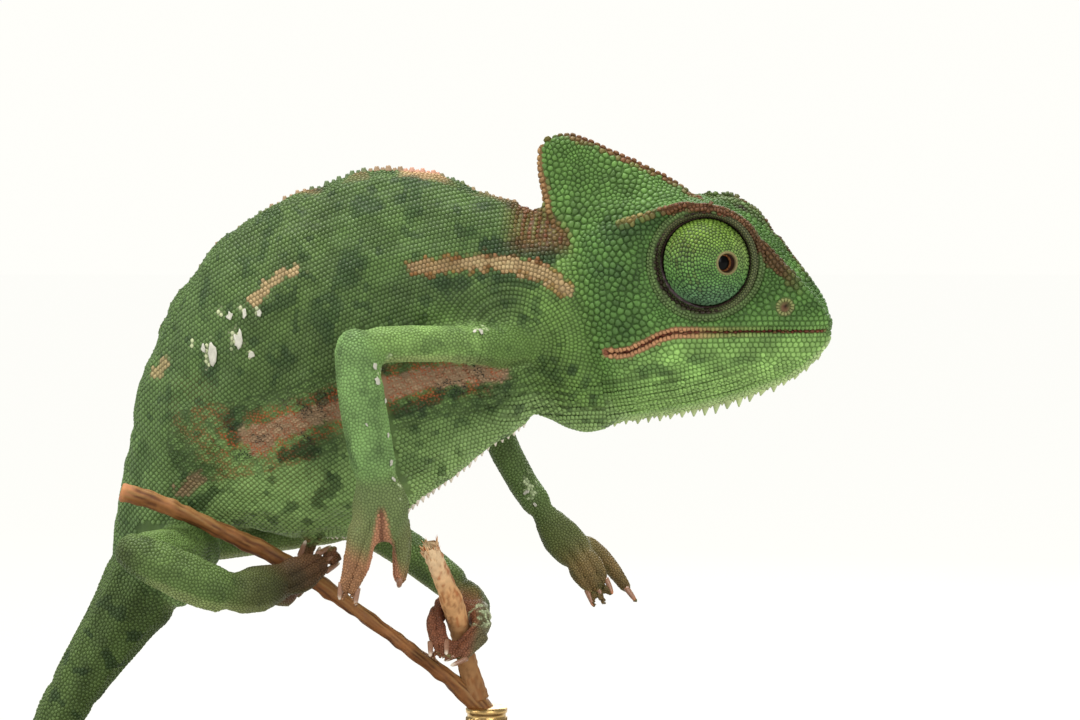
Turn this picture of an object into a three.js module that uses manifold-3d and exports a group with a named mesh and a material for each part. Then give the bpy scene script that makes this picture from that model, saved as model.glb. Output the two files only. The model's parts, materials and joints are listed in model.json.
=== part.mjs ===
// A young veiled chameleon, life size, on a forked twig held by a plain display stand.
// Millimetres, +Z up. The animal faces +X, so its right flank faces -Y.
// The origin is the middle of the stand base's underside.

import * as THREE from "three";
import { mergeVertices } from "three/addons/utils/BufferGeometryUtils.js";
import Module from "manifold-3d";

const wasm = await Module();
wasm.setup();

// ---------------------------------------------------------------- driving dimensions

const GAP = 0.3; // clearance between two solids that touch

const BASE_LENGTH = 132;
const BASE_DEPTH = 84;
const BASE_HEIGHT = 9;
const BASE_CORNER = 14;
const BASE_BEVEL = 1.2;
const ROD_PLACE = [9.2, 4.15];
const ROD_RADIUS = 1.5;
const ROD_FLANGE_RADIUS = 4.2;
const ROD_FLANGE_HEIGHT = 2.2;
const CUP_RADIUS = 2.7;
const CUP_HEIGHT = 4.6;

const SPINE_KEEL = 1.25; // above 1 the back and the belly come to a ridge

// The head has its own frame: x forward, y left, z up, with zero between the eyes.
const HEAD_PLACE = new THREE.Vector3(38.16, -3.5, 98.1);
const HEAD_YAW = -15; // degrees, the face turns towards -Y
const HEAD_ROLL = 5; // degrees, the crown leans towards -Y
const EYE_PLACE = new THREE.Vector3(-0.5, 5.5, -0.2);
const EYE_RADIUS = 5.5;
const EYE_BULGE = 4.9;

const TAIL_START_HEADING = 243; // degrees from +X, where the tail leaves the body's line
const TAIL_CURL_LENGTH = 75;
const TAIL_LENGTHS = 5;

const CREST_STEP = 1.6;
const THROAT_SPIKE_STEP = 1.55;
const CLAW_LENGTH = 1.9;
const CLAW_RADIUS = 0.42;

const SKIN_GREEN = 0x56793f;
const TOE_BROWN = 0x8a6a52;
const EYE_GREEN = 0x6f9440;
const TWIG_BROWN = 0x7a4a22;
const BASE_WOOD = 0x3f2a1c;
const ROD_BRASS = 0xb08d57;

// ---------------------------------------------------------------- smooth tables

// Slope at row i of a table of [place, value, ...] rows, for column k.
function slope(table, i, k) {
  const a = table[Math.max(i - 1, 0)];
  const b = table[Math.min(i + 1, table.length - 1)];
  return (b[k] - a[k]) / (b[0] - a[0]);
}

// Column k of a table at place t, on a smooth curve through its rows.
function along(table, t, k = 1) {
  let i = 0;
  while (i < table.length - 2 && t > table[i + 1][0]) i++;
  const a = table[i];
  const b = table[i + 1];
  const span = b[0] - a[0];
  const f = THREE.MathUtils.clamp((t - a[0]) / span, 0, 1);
  const g = 1 - f;
  return (
    a[k] * g * g * (1 + 2 * f) +
    b[k] * f * f * (1 + 2 * g) +
    span * f * g * (g * slope(table, i, k) - f * slope(table, i + 1, k))
  );
}

// Rows that start with x, y, z get the running length of that path put in front.
function measured(rows) {
  let length = 0;
  return rows.map((row, i) => {
    if (i > 0) {
      const before = rows[i - 1];
      length += Math.hypot(row[0] - before[0], row[1] - before[1], row[2] - before[2]);
    }
    return [length, ...row];
  });
}

// ---------------------------------------------------------------- solids

function solidOf(geometry) {
  const bare = geometry.clone();
  bare.deleteAttribute("normal");
  bare.deleteAttribute("uv");
  const merged = mergeVertices(bare, 1e-4);
  const triVerts = new Uint32Array(merged.index.array);
  const vertProperties = merged.attributes.position.array;
  const made = new wasm.Manifold(new wasm.Mesh({ numProp: 3, vertProperties, triVerts }));
  if (made.volume() > 0) return made;
  for (let i = 0; i < triVerts.length; i += 3) {
    [triVerts[i + 1], triVerts[i + 2]] = [triVerts[i + 2], triVerts[i + 1]];
  }
  return new wasm.Manifold(new wasm.Mesh({ numProp: 3, vertProperties, triVerts }));
}

function geometryOf(solid) {
  const mesh = solid.getMesh();
  const positions = new Float32Array(mesh.numVert * 3);
  for (let i = 0; i < mesh.numVert; i++) {
    const from = i * mesh.numProp;
    positions.set(mesh.vertProperties.subarray(from, from + 3), i * 3);
  }
  const geometry = new THREE.BufferGeometry();
  geometry.setAttribute("position", new THREE.BufferAttribute(positions, 3));
  geometry.setIndex(new THREE.BufferAttribute(new Uint32Array(mesh.triVerts), 1));
  return geometry;
}

// What is left of a solid after the cutters, without loose crumbs.
function cut(solid, ...cutters) {
  const rest = cutters.reduce((left, cutter) => left.subtract(cutter), solid);
  return rest.decompose().reduce((a, b) => (a.volume() > b.volume() ? a : b));
}

// A closed skin over rings of equal point count, with a fan over each end.
function loft(rings) {
  const sides = rings[0].length;
  const points = rings.flat();
  const faces = [];
  for (let r = 0; r < rings.length - 1; r++) {
    for (let s = 0; s < sides; s++) {
      const a = r * sides + s;
      const b = r * sides + ((s + 1) % sides);
      faces.push(a, b, a + sides, b, b + sides, a + sides);
    }
  }
  const lastRing = (rings.length - 1) * sides;
  for (const [first, turned] of [[0, true], [lastRing, false]]) {
    const middle = new THREE.Vector3();
    for (let s = 0; s < sides; s++) middle.addScaledVector(points[first + s], 1 / sides);
    const hub = points.push(middle) - 1;
    for (let s = 0; s < sides; s++) {
      const a = first + s;
      const b = first + ((s + 1) % sides);
      faces.push(hub, turned ? b : a, turned ? a : b);
    }
  }
  const geometry = new THREE.BufferGeometry().setFromPoints(points);
  geometry.setIndex(faces);
  return solidOf(geometry);
}

// ---------------------------------------------------------------- tubes: tail, legs, toes, twig

// A point, a direction and two radii at a place along a measured path of x, y, z, r1, r2 rows.
function tubeFrame(path, place, flat) {
  const at = (t) => new THREE.Vector3(along(path, t, 1), along(path, t, 2), along(path, t, 3));
  const length = path.at(-1)[0];
  const step = length * 0.01;
  const ahead = at(Math.min(place + step, length));
  const heading = ahead.sub(at(Math.max(place - step, 0))).normalize();
  const across = flat.clone().addScaledVector(heading, -flat.dot(heading)).normalize();
  const up = heading.clone().cross(across);
  const [r1, r2] = [along(path, place, 4), along(path, place, 5)];
  return { middle: at(place), heading, across, up, r1, r2 };
}

// A tube with rounded ends. rows are x, y, z, half width, half thickness; flat is the width's direction.
function tube(rows, options = {}) {
  const { flat = [0, 1, 0], sides = 10, steps = 6, round = [true, true], grow = 0 } = options;
  const path = measured(rows);
  const { from = 0, to = path.at(-1)[0] } = options;
  const width = new THREE.Vector3(...flat);
  const places = [];
  for (let i = 0; i <= steps; i++) places.push([THREE.MathUtils.lerp(from, to, i / steps), 1, 0]);
  for (const lift of [0.65, 0.95]) {
    if (round[0]) places.unshift([from, Math.sqrt(1 - lift * lift), -lift]);
    if (round[1]) places.push([to, Math.sqrt(1 - lift * lift), lift]);
  }
  const rings = places.map(([place, shrink, lift]) => {
    const f = tubeFrame(path, place, width);
    const bulge = lift * (Math.min(f.r1, f.r2) + grow);
    return Array.from({ length: sides }, (_, s) => {
      const angle = (2 * Math.PI * s) / sides;
      return f.middle
        .clone()
        .addScaledVector(f.heading, bulge)
        .addScaledVector(f.across, Math.cos(angle) * (f.r1 + grow) * shrink)
        .addScaledVector(f.up, Math.sin(angle) * (f.r2 + grow) * shrink);
    });
  });
  return loft(rings);
}

// ---------------------------------------------------------------- trunk

// Back x, z; belly x, z; middle y; half width. From inside the head to the tail's root.
const TRUNK_ROWS = [
  [28.0, 104.0, 27.0, 76.9, -0.8, 5.2],
  [22.4, 104.4, 22.2, 75.8, 0.0, 5.8],
  [18.4, 104.2, 18.6, 76.2, 0.4, 6.1],
  [13.6, 104.6, 15.2, 77.6, 1.0, 6.6],
  [7.5, 107.0, 11.0, 74.4, 1.8, 7.8],
  [0.5, 109.0, 3.5, 68.8, 2.6, 9.4],
  [-8.0, 108.4, -2.5, 64.2, 3.6, 10.4],
  [-18.6, 104.4, -8.0, 62.0, 4.6, 10.6],
  [-26.7, 97.4, -15.5, 61.7, 5.4, 9.8],
  [-32.6, 89.0, -21.8, 63.0, 6.2, 8.4],
  [-35.9, 79.0, -24.5, 61.6, 6.8, 6.8],
  [-37.7, 69.0, -26.0, 57.5, 7.2, 5.8],
  [-39.0, 60.2, -29.4, 52.4, 7.6, 5.0],
  [-41.3, 54.6, -33.0, 48.4, 7.7, 4.4],
];

// A row's place is the distance along the middles of its back and belly points.
const TRUNK = measured(TRUNK_ROWS.map((r) => [(r[0] + r[2]) / 2, r[4], (r[1] + r[3]) / 2, ...r]));
const [BACK_X, BACK_Z, BELLY_X, BELLY_Z, MIDDLE_Y, HALF_WIDTH] = [4, 5, 6, 7, 8, 9];
const TRUNK_LENGTH = TRUNK.at(-2)[0]; // the last row is the tail's root
const TRUNK_SIDES = 18;
const NECK_END = 13.5;
const CHEST_END = 37;
const BELLY_END = 66;

function trunkRing(place, sides, grow) {
  const y = along(TRUNK, place, MIDDLE_Y);
  const back = new THREE.Vector3(along(TRUNK, place, BACK_X), y, along(TRUNK, place, BACK_Z));
  const belly = new THREE.Vector3(along(TRUNK, place, BELLY_X), y, along(TRUNK, place, BELLY_Z));
  const half = back.clone().sub(belly).multiplyScalar(0.5);
  const middle = belly.add(half);
  const width = along(TRUNK, place, HALF_WIDTH) + grow;
  half.setLength(half.length() + grow);
  return Array.from({ length: sides }, (_, s) => {
    const angle = (2 * Math.PI * s) / sides;
    const side = Math.sin(angle);
    const keeled = Math.sign(side) * Math.abs(side) ** SPINE_KEEL;
    return middle
      .clone()
      .addScaledVector(half, Math.cos(angle))
      .add(new THREE.Vector3(0, keeled * width, 0));
  });
}

function trunkPart(from, to, steps, grow = 0) {
  const rings = [];
  for (let i = 0; i <= steps; i++) {
    rings.push(trunkRing(THREE.MathUtils.lerp(from, to, i / steps), TRUNK_SIDES, grow));
  }
  return loft(rings);
}

// ---------------------------------------------------------------- crests

function spike(foot, heading, height, radius) {
  const sunk = height * 0.6;
  const geometry = new THREE.ConeGeometry(radius, height + sunk, 4);
  geometry.translate(0, (height - sunk) / 2, 0);
  const turn = new THREE.Quaternion().setFromUnitVectors(new THREE.Vector3(0, 1, 0), heading);
  geometry.applyQuaternion(turn);
  geometry.translate(foot.x, foot.y, foot.z);
  return solidOf(geometry);
}

// Cones along the back, tallest over the shoulders, and smaller ones along the belly.
// Rows are place, height.
const BACK_HEIGHTS = [[15, 0.35], [26, 0.7], [34, 0.65], [60, 0.3]];
const BELLY_HEIGHTS = [[15, 0.4], [30, 0.45], [40, 0.3]];

function trunkSpikes(from, to, edge, heights) {
  const spikes = [];
  const [first, last] = [heights[0][0], heights.at(-1)[0]];
  for (let place = first; place < last; place += CREST_STEP) {
    if (place < from + 1 || place > to - 1) continue;
    const ring = trunkRing(place, TRUNK_SIDES, 0);
    const half = TRUNK_SIDES / 2;
    const [foot, other] = edge === "back" ? [ring[0], ring[half]] : [ring[half], ring[0]];
    const away = foot.clone().sub(other).normalize();
    spikes.push(spike(foot, away, along(heights, place), edge === "back" ? 0.75 : 0.55));
  }
  return spikes;
}

// ---------------------------------------------------------------- head

// Each table is x, value; x runs from the back edge of the casque to the snout.
const CROWN_Z = [
  [-22.9, 13.6], [-22, 14.7], [-20, 15.4], [-18, 15.2], [-14, 13.6], [-7.2, 10.5], [-2.2, 7.4],
  [3.5, 3.7], [8.4, -0.9], [11.5, -4.1], [13.4, -6.5], [14.3, -8.3],
];
const BROW_Y = [
  [-22.9, 0.5], [-19.2, 3.3], [-14.4, 5.8], [-9.6, 6.9], [-3.8, 7.1], [1, 6.7], [4.2, 5.6],
  [8.3, 4.1], [12, 2.5], [14.3, 0.9],
];
const BROW_Z = [
  [-22.9, 13.0], [-20.6, 7.0], [-17.2, 3.6], [-12, 4.3], [-7.2, 6.0], [-3.3, 7.0], [-0.6, 7.2],
  [1.6, 6.6], [4, 5.0], [6.6, 2.2], [8.8, -0.5], [10.6, -2.8], [12.8, -5.7], [14.3, -8.4],
];
const CHEEK_Y = [
  [-22.9, 0.5], [-19.2, 4.5], [-15.3, 7.3], [-10.5, 8.4], [-4.8, 7.8], [1, 6.8], [5.7, 5.4],
  [10.5, 3.7], [13.2, 2.1], [14.3, 0.9],
];
const CHEEK_Z = [
  [-22.9, 12.4], [-20.6, 2.0], [-17.2, -3.0], [-10.5, -5.4], [-2.9, -6.8], [3.8, -6.5], [11, -6.8],
  [14.3, -8.6],
];
const LIP_Y = [
  [-22.9, 0.5], [-19.2, 4.1], [-15.3, 7.0], [-10.5, 8.1], [-2.9, 7.6], [3.8, 6.2], [8.6, 4.7],
  [12, 3.1], [13.6, 1.7], [14.3, 0.8],
];
const LIP_Z = [
  [-22.9, 11.8], [-20.6, 0.5], [-17.2, -6.9], [-13, -11.2], [-9.8, -11.1], [-8.1, -10.3],
  [-6.1, -9.3], [-4.2, -8.7], [3.8, -8.7], [14.3, -9.1],
];
const JAW_Y = [
  [-22.9, 0.5], [-19.2, 4.0], [-15.3, 6.0], [-10.5, 6.9], [-2.9, 6.6], [3.8, 5.2], [8.6, 3.8],
  [12, 2.4], [13.6, 1.3], [14.3, 0.6],
];
const JAW_Z = [
  [-22.9, 11.5], [-20.6, -0.5], [-17.2, -9.5], [-13.4, -16.1], [-8.1, -15.6], [-2.9, -14.6],
  [5.7, -12.9], [11.5, -11.6], [14.3, -9.5],
];
const THROAT_Z = [
  [-22.9, 11.0], [-21.4, 1.0], [-19, -7], [-16.6, -15], [-15, -21.7], [-11.2, -21.1],
  [-7.8, -20.5], [-4.3, -19.9], [-0.9, -19.0], [2.5, -18.1], [5.9, -16.9], [8.6, -15.8],
  [10.6, -14.5], [12.5, -12.7], [13.8, -11.0], [14.3, -9.8],
];
const SOCKET_Y = 4.9;
const SOCKET_REACH = 7; // the socket fades out this far in front of and behind the eye
const HEAD_STATIONS = [
  -22.9, -22.1, -20.7, -18.6, -16.7, -15, -12.4, -9.6, -6.6, -3.4, 0, 3.4, 6.6, 9.6, 12, 13.6, 14.3,
];

// The left half of the head's outline at x, from the crown to the throat.
function headProfile(x) {
  const crown = along(CROWN_Z, x);
  const brow = new THREE.Vector2(along(BROW_Y, x), along(BROW_Z, x));
  const cheek = new THREE.Vector2(along(CHEEK_Y, x), along(CHEEK_Z, x));
  const lip = new THREE.Vector2(along(LIP_Y, x), along(LIP_Z, x));
  const jaw = new THREE.Vector2(along(JAW_Y, x), along(JAW_Z, x));
  const throat = along(THROAT_Z, x);
  const blade = Math.min(1.3, brow.x * 0.5);
  const drop = Math.min(1.1, Math.max(crown - brow.y, 0) * 0.3);
  const socket = Math.exp(-((x / SOCKET_REACH) ** 4));
  const middle = brow.clone().lerp(cheek, 0.5);
  middle.x = THREE.MathUtils.lerp(middle.x + 0.15, Math.min(middle.x, SOCKET_Y), socket);
  return [
    new THREE.Vector2(0, crown),
    new THREE.Vector2(blade, crown - drop),
    new THREE.Vector2(brow.x * 0.55, THREE.MathUtils.lerp(crown, brow.y, 0.66) - drop * 0.3),
    new THREE.Vector2(brow.x * 0.9, brow.y + 0.1),
    brow,
    middle,
    cheek,
    lip,
    jaw,
    new THREE.Vector2(jaw.x * 0.55, THREE.MathUtils.lerp(jaw.y, throat, 0.66)),
    new THREE.Vector2(0, throat),
  ];
}

const HEAD_TURN = new THREE.Matrix4()
  .makeTranslation(HEAD_PLACE)
  .multiply(new THREE.Matrix4().makeRotationZ(THREE.MathUtils.degToRad(HEAD_YAW)))
  .multiply(new THREE.Matrix4().makeRotationX(THREE.MathUtils.degToRad(HEAD_ROLL)));

function headPoint(x, y, z) {
  return new THREE.Vector3(x, y, z).applyMatrix4(HEAD_TURN);
}

function headSolid() {
  const rings = HEAD_STATIONS.map((x) => {
    const half = new THREE.SplineCurve(headProfile(x)).getPoints(11);
    const left = half.map((p) => headPoint(x, Math.max(p.x, 0), p.y));
    const right = half.slice(1, -1).reverse().map((p) => headPoint(x, -Math.max(p.x, 0), p.y));
    return [...left, ...right];
  });
  return loft(rings);
}

// A flat plate across the head, drawn in its x, z plane.
function headPlate(corners, reach = 30) {
  const shape = new THREE.Shape(corners.map(([x, z]) => new THREE.Vector2(x, z)));
  const geometry = new THREE.ExtrudeGeometry(shape, { depth: 2 * reach, bevelEnabled: false });
  geometry.rotateX(Math.PI / 2);
  geometry.translate(0, reach, 0);
  geometry.applyMatrix4(HEAD_TURN);
  return solidOf(geometry);
}

// The lower jaw lies under the mouth line, and the casque above a line behind the brows.
const MOUTH = [
  [20, -9.1], [8.2, -8.8], [-4.2, -8.7], [-6.1, -9.25], [-8.1, -10.3], [-9.8, -11.1], [-12, -11.4],
  [-12.6, -26], [20, -26],
];
const CASQUE = [[-30, -1.2], [-1.8, 7.9], [-1.8, 30], [-30, 30]];

function moved(corners, dx, dz) {
  return corners.map(([x, z]) => [x + dx, z + dz]);
}

function eyeSolid(side, grow = 0) {
  const geometry = new THREE.SphereGeometry(1, 14, 9);
  geometry.scale(EYE_RADIUS + grow, EYE_BULGE + grow, EYE_RADIUS + grow);
  geometry.translate(EYE_PLACE.x, EYE_PLACE.y * side, EYE_PLACE.z);
  geometry.applyMatrix4(HEAD_TURN);
  return solidOf(geometry);
}

// Cones under the throat.
function throatSpikes(from, to) {
  const spikes = [];
  const down = headPoint(-0.15, 0, -1).sub(headPoint(0, 0, 0)).normalize();
  for (let x = from; x < to; x += THROAT_SPIKE_STEP) {
    const height = along([[-20, 0.4], [-4, 0.65], [0, 0.9], [5, 0.65], [13, 0.35]], x);
    spikes.push(spike(headPoint(x, 0, along(THROAT_Z, x) + 0.15), down, height, 0.55));
  }
  return spikes;
}

// ---------------------------------------------------------------- tail

// From inside the trunk to where the curl starts: x, y, z, half width, half height.
const TAIL_ROOT = [
  [-33.6, 7.5, 58.4, 5.0, 5.8],
  [-35.6, 7.6, 54.7, 4.8, 5.4],
  [-37.6, 7.7, 51.4, 4.3, 4.85],
  [-40.5, 7.9, 47.2, 3.7, 4.25],
  [-43.5, 8.1, 42.7, 3.3, 3.7],
  [-46.1, 8.2, 38.2, 3.0, 3.35],
];
// Length along the curl, bend per millimetre, radius.
const TAIL_CURL = [
  [0, 0.02, 3.2], [10, 0.075, 2.7], [24, 0.095, 2.2], [50, 0.13, 1.5], [68, 0.23, 1.0],
  [78, 0.36, 0.65],
];

function tailRows() {
  const rows = [...TAIL_ROOT];
  const step = 3;
  let heading = THREE.MathUtils.degToRad(TAIL_START_HEADING);
  let [x, y, z] = rows.at(-1);
  for (let s = 0; s < TAIL_CURL_LENGTH; s += step) {
    heading += step * along(TAIL_CURL, s + step / 2, 1);
    x += step * Math.cos(heading);
    z += step * Math.sin(heading);
    const radius = along(TAIL_CURL, s + step, 2);
    rows.push([x, y, z, radius * 0.92, radius]);
  }
  return rows;
}

// ---------------------------------------------------------------- legs and feet

// Rows are x, y, z, half width, half thickness. "flat" is the direction of the width.
const LEGS = {
  right_front: {
    flat: [1, 0, 0],
    upper: [
      [14.5, -2.5, 86.9, 3.4, 3.2], [11.7, -5.0, 87.0, 3.1, 3.0], [7.4, -7.6, 87.3, 2.75, 2.6],
      [2.6, -10.2, 87.5, 2.65, 2.6], [-2.1, -12.4, 87.6, 2.7, 2.65], [-5.2, -13.9, 87.4, 2.8, 2.8],
    ],
    lower: [
      [-6.1, -14.6, 86.9, 3.0, 3.0], [-5.5, -15.0, 81.7, 3.2, 3.05],
      [-4.8, -14.9, 77.3, 3.15, 2.95], [-4.0, -14.5, 72.8, 3.1, 2.8],
      [-3.6, -14.3, 70.8, 3.2, 2.8],
    ],
    palm: [[-3.5, -14.2, 70.2, 3.4, 2.8], [-3.2, -14.0, 68.0, 4.0, 2.9], [-3.3, -13.9, 66.0, 3.7, 2.7]],
    outer: [
      [-5.2, -14.8, 66.5, 2.3, 2.1], [-5.5, -15.4, 64.1, 2.2, 2.0], [-6.1, -15.8, 61.0, 2.1, 1.8],
      [-6.9, -15.6, 58.7, 1.65, 1.5],
    ],
    inner: [
      [-0.9, -13.0, 66.9, 1.7, 2.3], [-0.7, -12.2, 64.4, 1.55, 2.3],
      [-0.8, -11.9, 61.8, 1.55, 2.2], [-1.0, -12.1, 59.2, 1.2, 1.7],
    ],
    claws: { outer: [2, [0.8, 0, 0]], inner: [3, [0, 1.8, 1.3]] },
  },
  left_front: {
    flat: [0.86, 0, 0.5],
    upper: [[15.0, 4.0, 86.5, 3.4, 3.3], [11.7, 12.0, 83.2, 2.8, 2.8], [8.6, 18.2, 80.4, 2.7, 2.7]],
    lower: [
      [8.2, 18.8, 79.6, 2.6, 2.6], [11.0, 19.6, 73.0, 2.45, 2.4], [12.7, 20.0, 69.3, 2.35, 2.3],
      [14.6, 20.0, 66.4, 2.3, 2.2], [16.4, 20.0, 63.9, 2.3, 2.1],
    ],
    palm: [[17.1, 20.0, 62.8, 2.4, 2.1], [18.8, 20.0, 60.5, 3.1, 2.2], [20.6, 19.7, 58.6, 3.0, 2.1]],
    outer: [
      [22.0, 21.2, 59.7, 1.6, 1.9], [24.2, 22.1, 57.8, 1.5, 2.0], [26.2, 22.5, 55.3, 1.45, 1.9],
      [27.4, 22.3, 53.6, 1.2, 1.5],
    ],
    inner: [[20.6, 18.8, 58.6, 2.9, 1.7], [22.4, 17.8, 56.2, 2.9, 1.6], [23.4, 17.3, 54.6, 2.4, 1.3]],
    claws: { outer: [2, [0.2, 0, -0.2]], inner: [3, [-0.4, -0.2, -0.4]] },
  },
  right_hind: {
    flat: [-0.4, 0, 0.92],
    upper: [
      [-28.0, 4.0, 60.9, 4.2, 4.1], [-29.8, -4.0, 61.0, 3.8, 3.7], [-32.4, -12.2, 62.0, 3.1, 3.1],
    ],
    lower: [
      [-32.8, -13.5, 62.3, 2.9, 2.9], [-28.9, -12.9, 60.3, 3.35, 3.3],
      [-25.4, -11.6, 58.4, 3.3, 3.2], [-22.2, -10.1, 57.1, 3.1, 3.0],
    ],
    palm: [[-20.8, -9.2, 56.9, 3.0, 2.9], [-18.6, -7.2, 57.2, 3.3, 2.9], [-16.8, -5.4, 57.6, 2.9, 2.5]],
    outer: [
      [-18.0, -6.4, 57.5, 3.1, 2.0], [-15.4, -4.8, 58.1, 3.2, 1.8], [-12.9, -3.8, 58.9, 2.8, 1.6],
      [-11.2, -2.4, 59.8, 1.9, 1.3],
    ],
    inner: [
      [-17.6, -4.0, 56.6, 2.3, 2.0], [-15.8, 0.2, 55.7, 2.2, 1.7], [-14.4, 4.0, 57.2, 2.1, 1.5],
      [-13.6, 4.8, 59.4, 1.7, 1.2],
    ],
    claws: { outer: [3, [0, 1.5, 0]], inner: [2, [0.2, -1.6, 0.3]] },
  },
  left_hind: {
    flat: [1, 0, 0],
    upper: [[-26.5, 9.0, 62.0, 4.0, 3.8], [-18.0, 14.8, 62.4, 3.6, 3.5], [-9.6, 17.2, 62.8, 3.1, 3.0]],
    lower: [
      [-8.4, 17.2, 63.0, 3.0, 3.0], [-4.9, 15.6, 61.6, 2.95, 2.9], [-0.4, 13.0, 59.1, 2.9, 2.85],
      [3.9, 9.6, 56.3, 2.75, 2.6], [5.8, 8.2, 55.0, 2.6, 2.5],
    ],
    palm: [[6.4, 7.6, 54.4, 2.7, 2.4], [7.2, 6.4, 52.6, 3.1, 2.3], [7.2, 5.6, 51.2, 2.9, 2.1]],
    outer: [
      [8.0, 5.0, 53.0, 2.0, 2.2], [8.4, 1.6, 51.6, 2.0, 2.0], [7.6, -0.6, 49.8, 2.1, 1.7],
      [6.0, -1.8, 48.4, 1.8, 1.3],
    ],
    inner: [
      [4.9, 4.6, 54.2, 1.8, 1.9], [3.3, 2.0, 53.2, 1.7, 1.9], [3.0, -1.0, 51.6, 1.75, 1.6],
      [3.3, -2.4, 50.0, 1.6, 1.2],
    ],
    claws: { outer: [3, [-0.9, 0, 0.7]], inner: [2, [-0.4, 0, -0.2]] },
  },
};

const FRONT_NAMES = { upper: "upper_arm", lower: "forearm", palm: "hand" };
const HIND_NAMES = { upper: "thigh", lower: "shank", palm: "foot" };

// A claw's rows. "share" runs from -1 to 1 over the wider way across the bundle's end.
function clawRows(bundle, flat, share, bend) {
  const path = measured(bundle);
  const end = tubeFrame(path, path.at(-1)[0], new THREE.Vector3(...flat));
  const side = end.r1 > end.r2 ? end.across : end.up;
  const root = end.middle.clone().addScaledVector(side, share * Math.max(end.r1, end.r2) * 0.62);
  const reach = CLAW_LENGTH + Math.min(end.r1, end.r2) * 0.8;
  const tip = root.clone().addScaledVector(end.heading, reach).add(new THREE.Vector3(...bend));
  const knee = root.clone().lerp(tip, 0.6).addScaledVector(end.heading, 0.25);
  return [
    [...root.toArray(), CLAW_RADIUS, CLAW_RADIUS],
    [...knee.toArray(), CLAW_RADIUS * 0.85, CLAW_RADIUS * 0.85],
    [...tip.toArray(), 0.26, 0.26],
  ];
}

// A bundle of fused toes with its claws joined to it.
function toeBundle(rows, [clawCount, bend], options) {
  const claw = { ...options, sides: 4, steps: 2, round: [false, false] };
  let solid = tube(rows, options);
  for (let c = 0; c < clawCount; c++) {
    const share = (2 * c) / (clawCount - 1) - 1;
    solid = solid.add(tube(clawRows(rows, options.flat, share, bend), claw));
  }
  return solid;
}

// ---------------------------------------------------------------- twig

const TWIG = [
  [-35.8, -5.1, 69.0, 1.3, 1.3],
  [-32.5, -4.6, 68.0, 1.15, 1.15],
  [-28.9, -4.0, 66.5, 1.05, 1.05],
  [-25.3, -3.0, 64.7, 1.05, 1.05],
  [-21.8, -1.5, 62.8, 1.1, 1.1],
  [-18.2, 0.0, 60.9, 1.15, 1.15],
  [-11.8, 1.5, 56.7, 1.15, 1.15],
  [-5.2, 2.5, 51.8, 0.95, 0.95],
  [1.8, 3.4, 46.4, 1.0, 1.0],
  [4.7, 3.8, 44.1, 1.1, 1.1],
  [7.5, 4.0, 41.6, 1.35, 1.35],
  [9.6, 4.2, 39.3, 1.4, 1.4],
  [11.8, 4.4, 36.4, 1.4, 1.4],
];
const TWIG_STUB = [
  [8.2, 4.1, 41.6, 1.5, 1.5],
  [7.1, 3.8, 45.0, 1.4, 1.4],
  [6.1, 2.2, 49.5, 1.3, 1.3],
  [5.2, -0.6, 54.0, 1.5, 1.45],
  [3.9, -2.8, 57.8, 1.3, 1.25],
  [2.2, -4.4, 62.4, 1.4, 1.35],
];

// ---------------------------------------------------------------- stand

function baseSolid() {
  const [w, d, r] = [BASE_LENGTH / 2 - BASE_BEVEL, BASE_DEPTH / 2 - BASE_BEVEL, BASE_CORNER];
  const shape = new THREE.Shape();
  shape.moveTo(-w + r, -d);
  shape.lineTo(w - r, -d);
  shape.absarc(w - r, -d + r, r, -Math.PI / 2, 0);
  shape.lineTo(w, d - r);
  shape.absarc(w - r, d - r, r, 0, Math.PI / 2);
  shape.lineTo(-w + r, d);
  shape.absarc(-w + r, d - r, r, Math.PI / 2, Math.PI);
  shape.lineTo(-w, -d + r);
  shape.absarc(-w + r, -d + r, r, Math.PI, Math.PI * 1.5);
  const geometry = new THREE.ExtrudeGeometry(shape, {
    depth: BASE_HEIGHT - 2 * BASE_BEVEL,
    bevelThickness: BASE_BEVEL,
    bevelSize: BASE_BEVEL,
    bevelSegments: 1,
    curveSegments: 4,
  });
  geometry.translate(0, 0, BASE_BEVEL);
  return solidOf(geometry);
}

function upright(radius, from, to, sides = 16) {
  const geometry = new THREE.CylinderGeometry(radius, radius, to - from, sides);
  geometry.rotateX(Math.PI / 2);
  geometry.translate(ROD_PLACE[0], ROD_PLACE[1], (from + to) / 2);
  return solidOf(geometry);
}

// ---------------------------------------------------------------- assembly

const group = new THREE.Group();
group.name = "chameleon";

function add(name, solid, colour, roughness = 0.6, metalness = 0) {
  const material = new THREE.MeshStandardMaterial({ color: colour, roughness, metalness });
  const mesh = new THREE.Mesh(geometryOf(solid), material);
  mesh.name = name;
  group.add(mesh);
}

// Twig and stand.
const branch = { sides: 7, steps: 15, round: [false, false] };
const shortBranch = { ...branch, steps: 9 };
const twigRoom = tube(TWIG, { ...branch, grow: GAP });
const stubRoom = tube(TWIG_STUB, { ...shortBranch, grow: GAP });
add("twig_main", tube(TWIG, branch), TWIG_BROWN, 0.8);
add("twig_stub", cut(tube(TWIG_STUB, shortBranch), twigRoom), TWIG_BROWN, 0.85);

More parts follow.
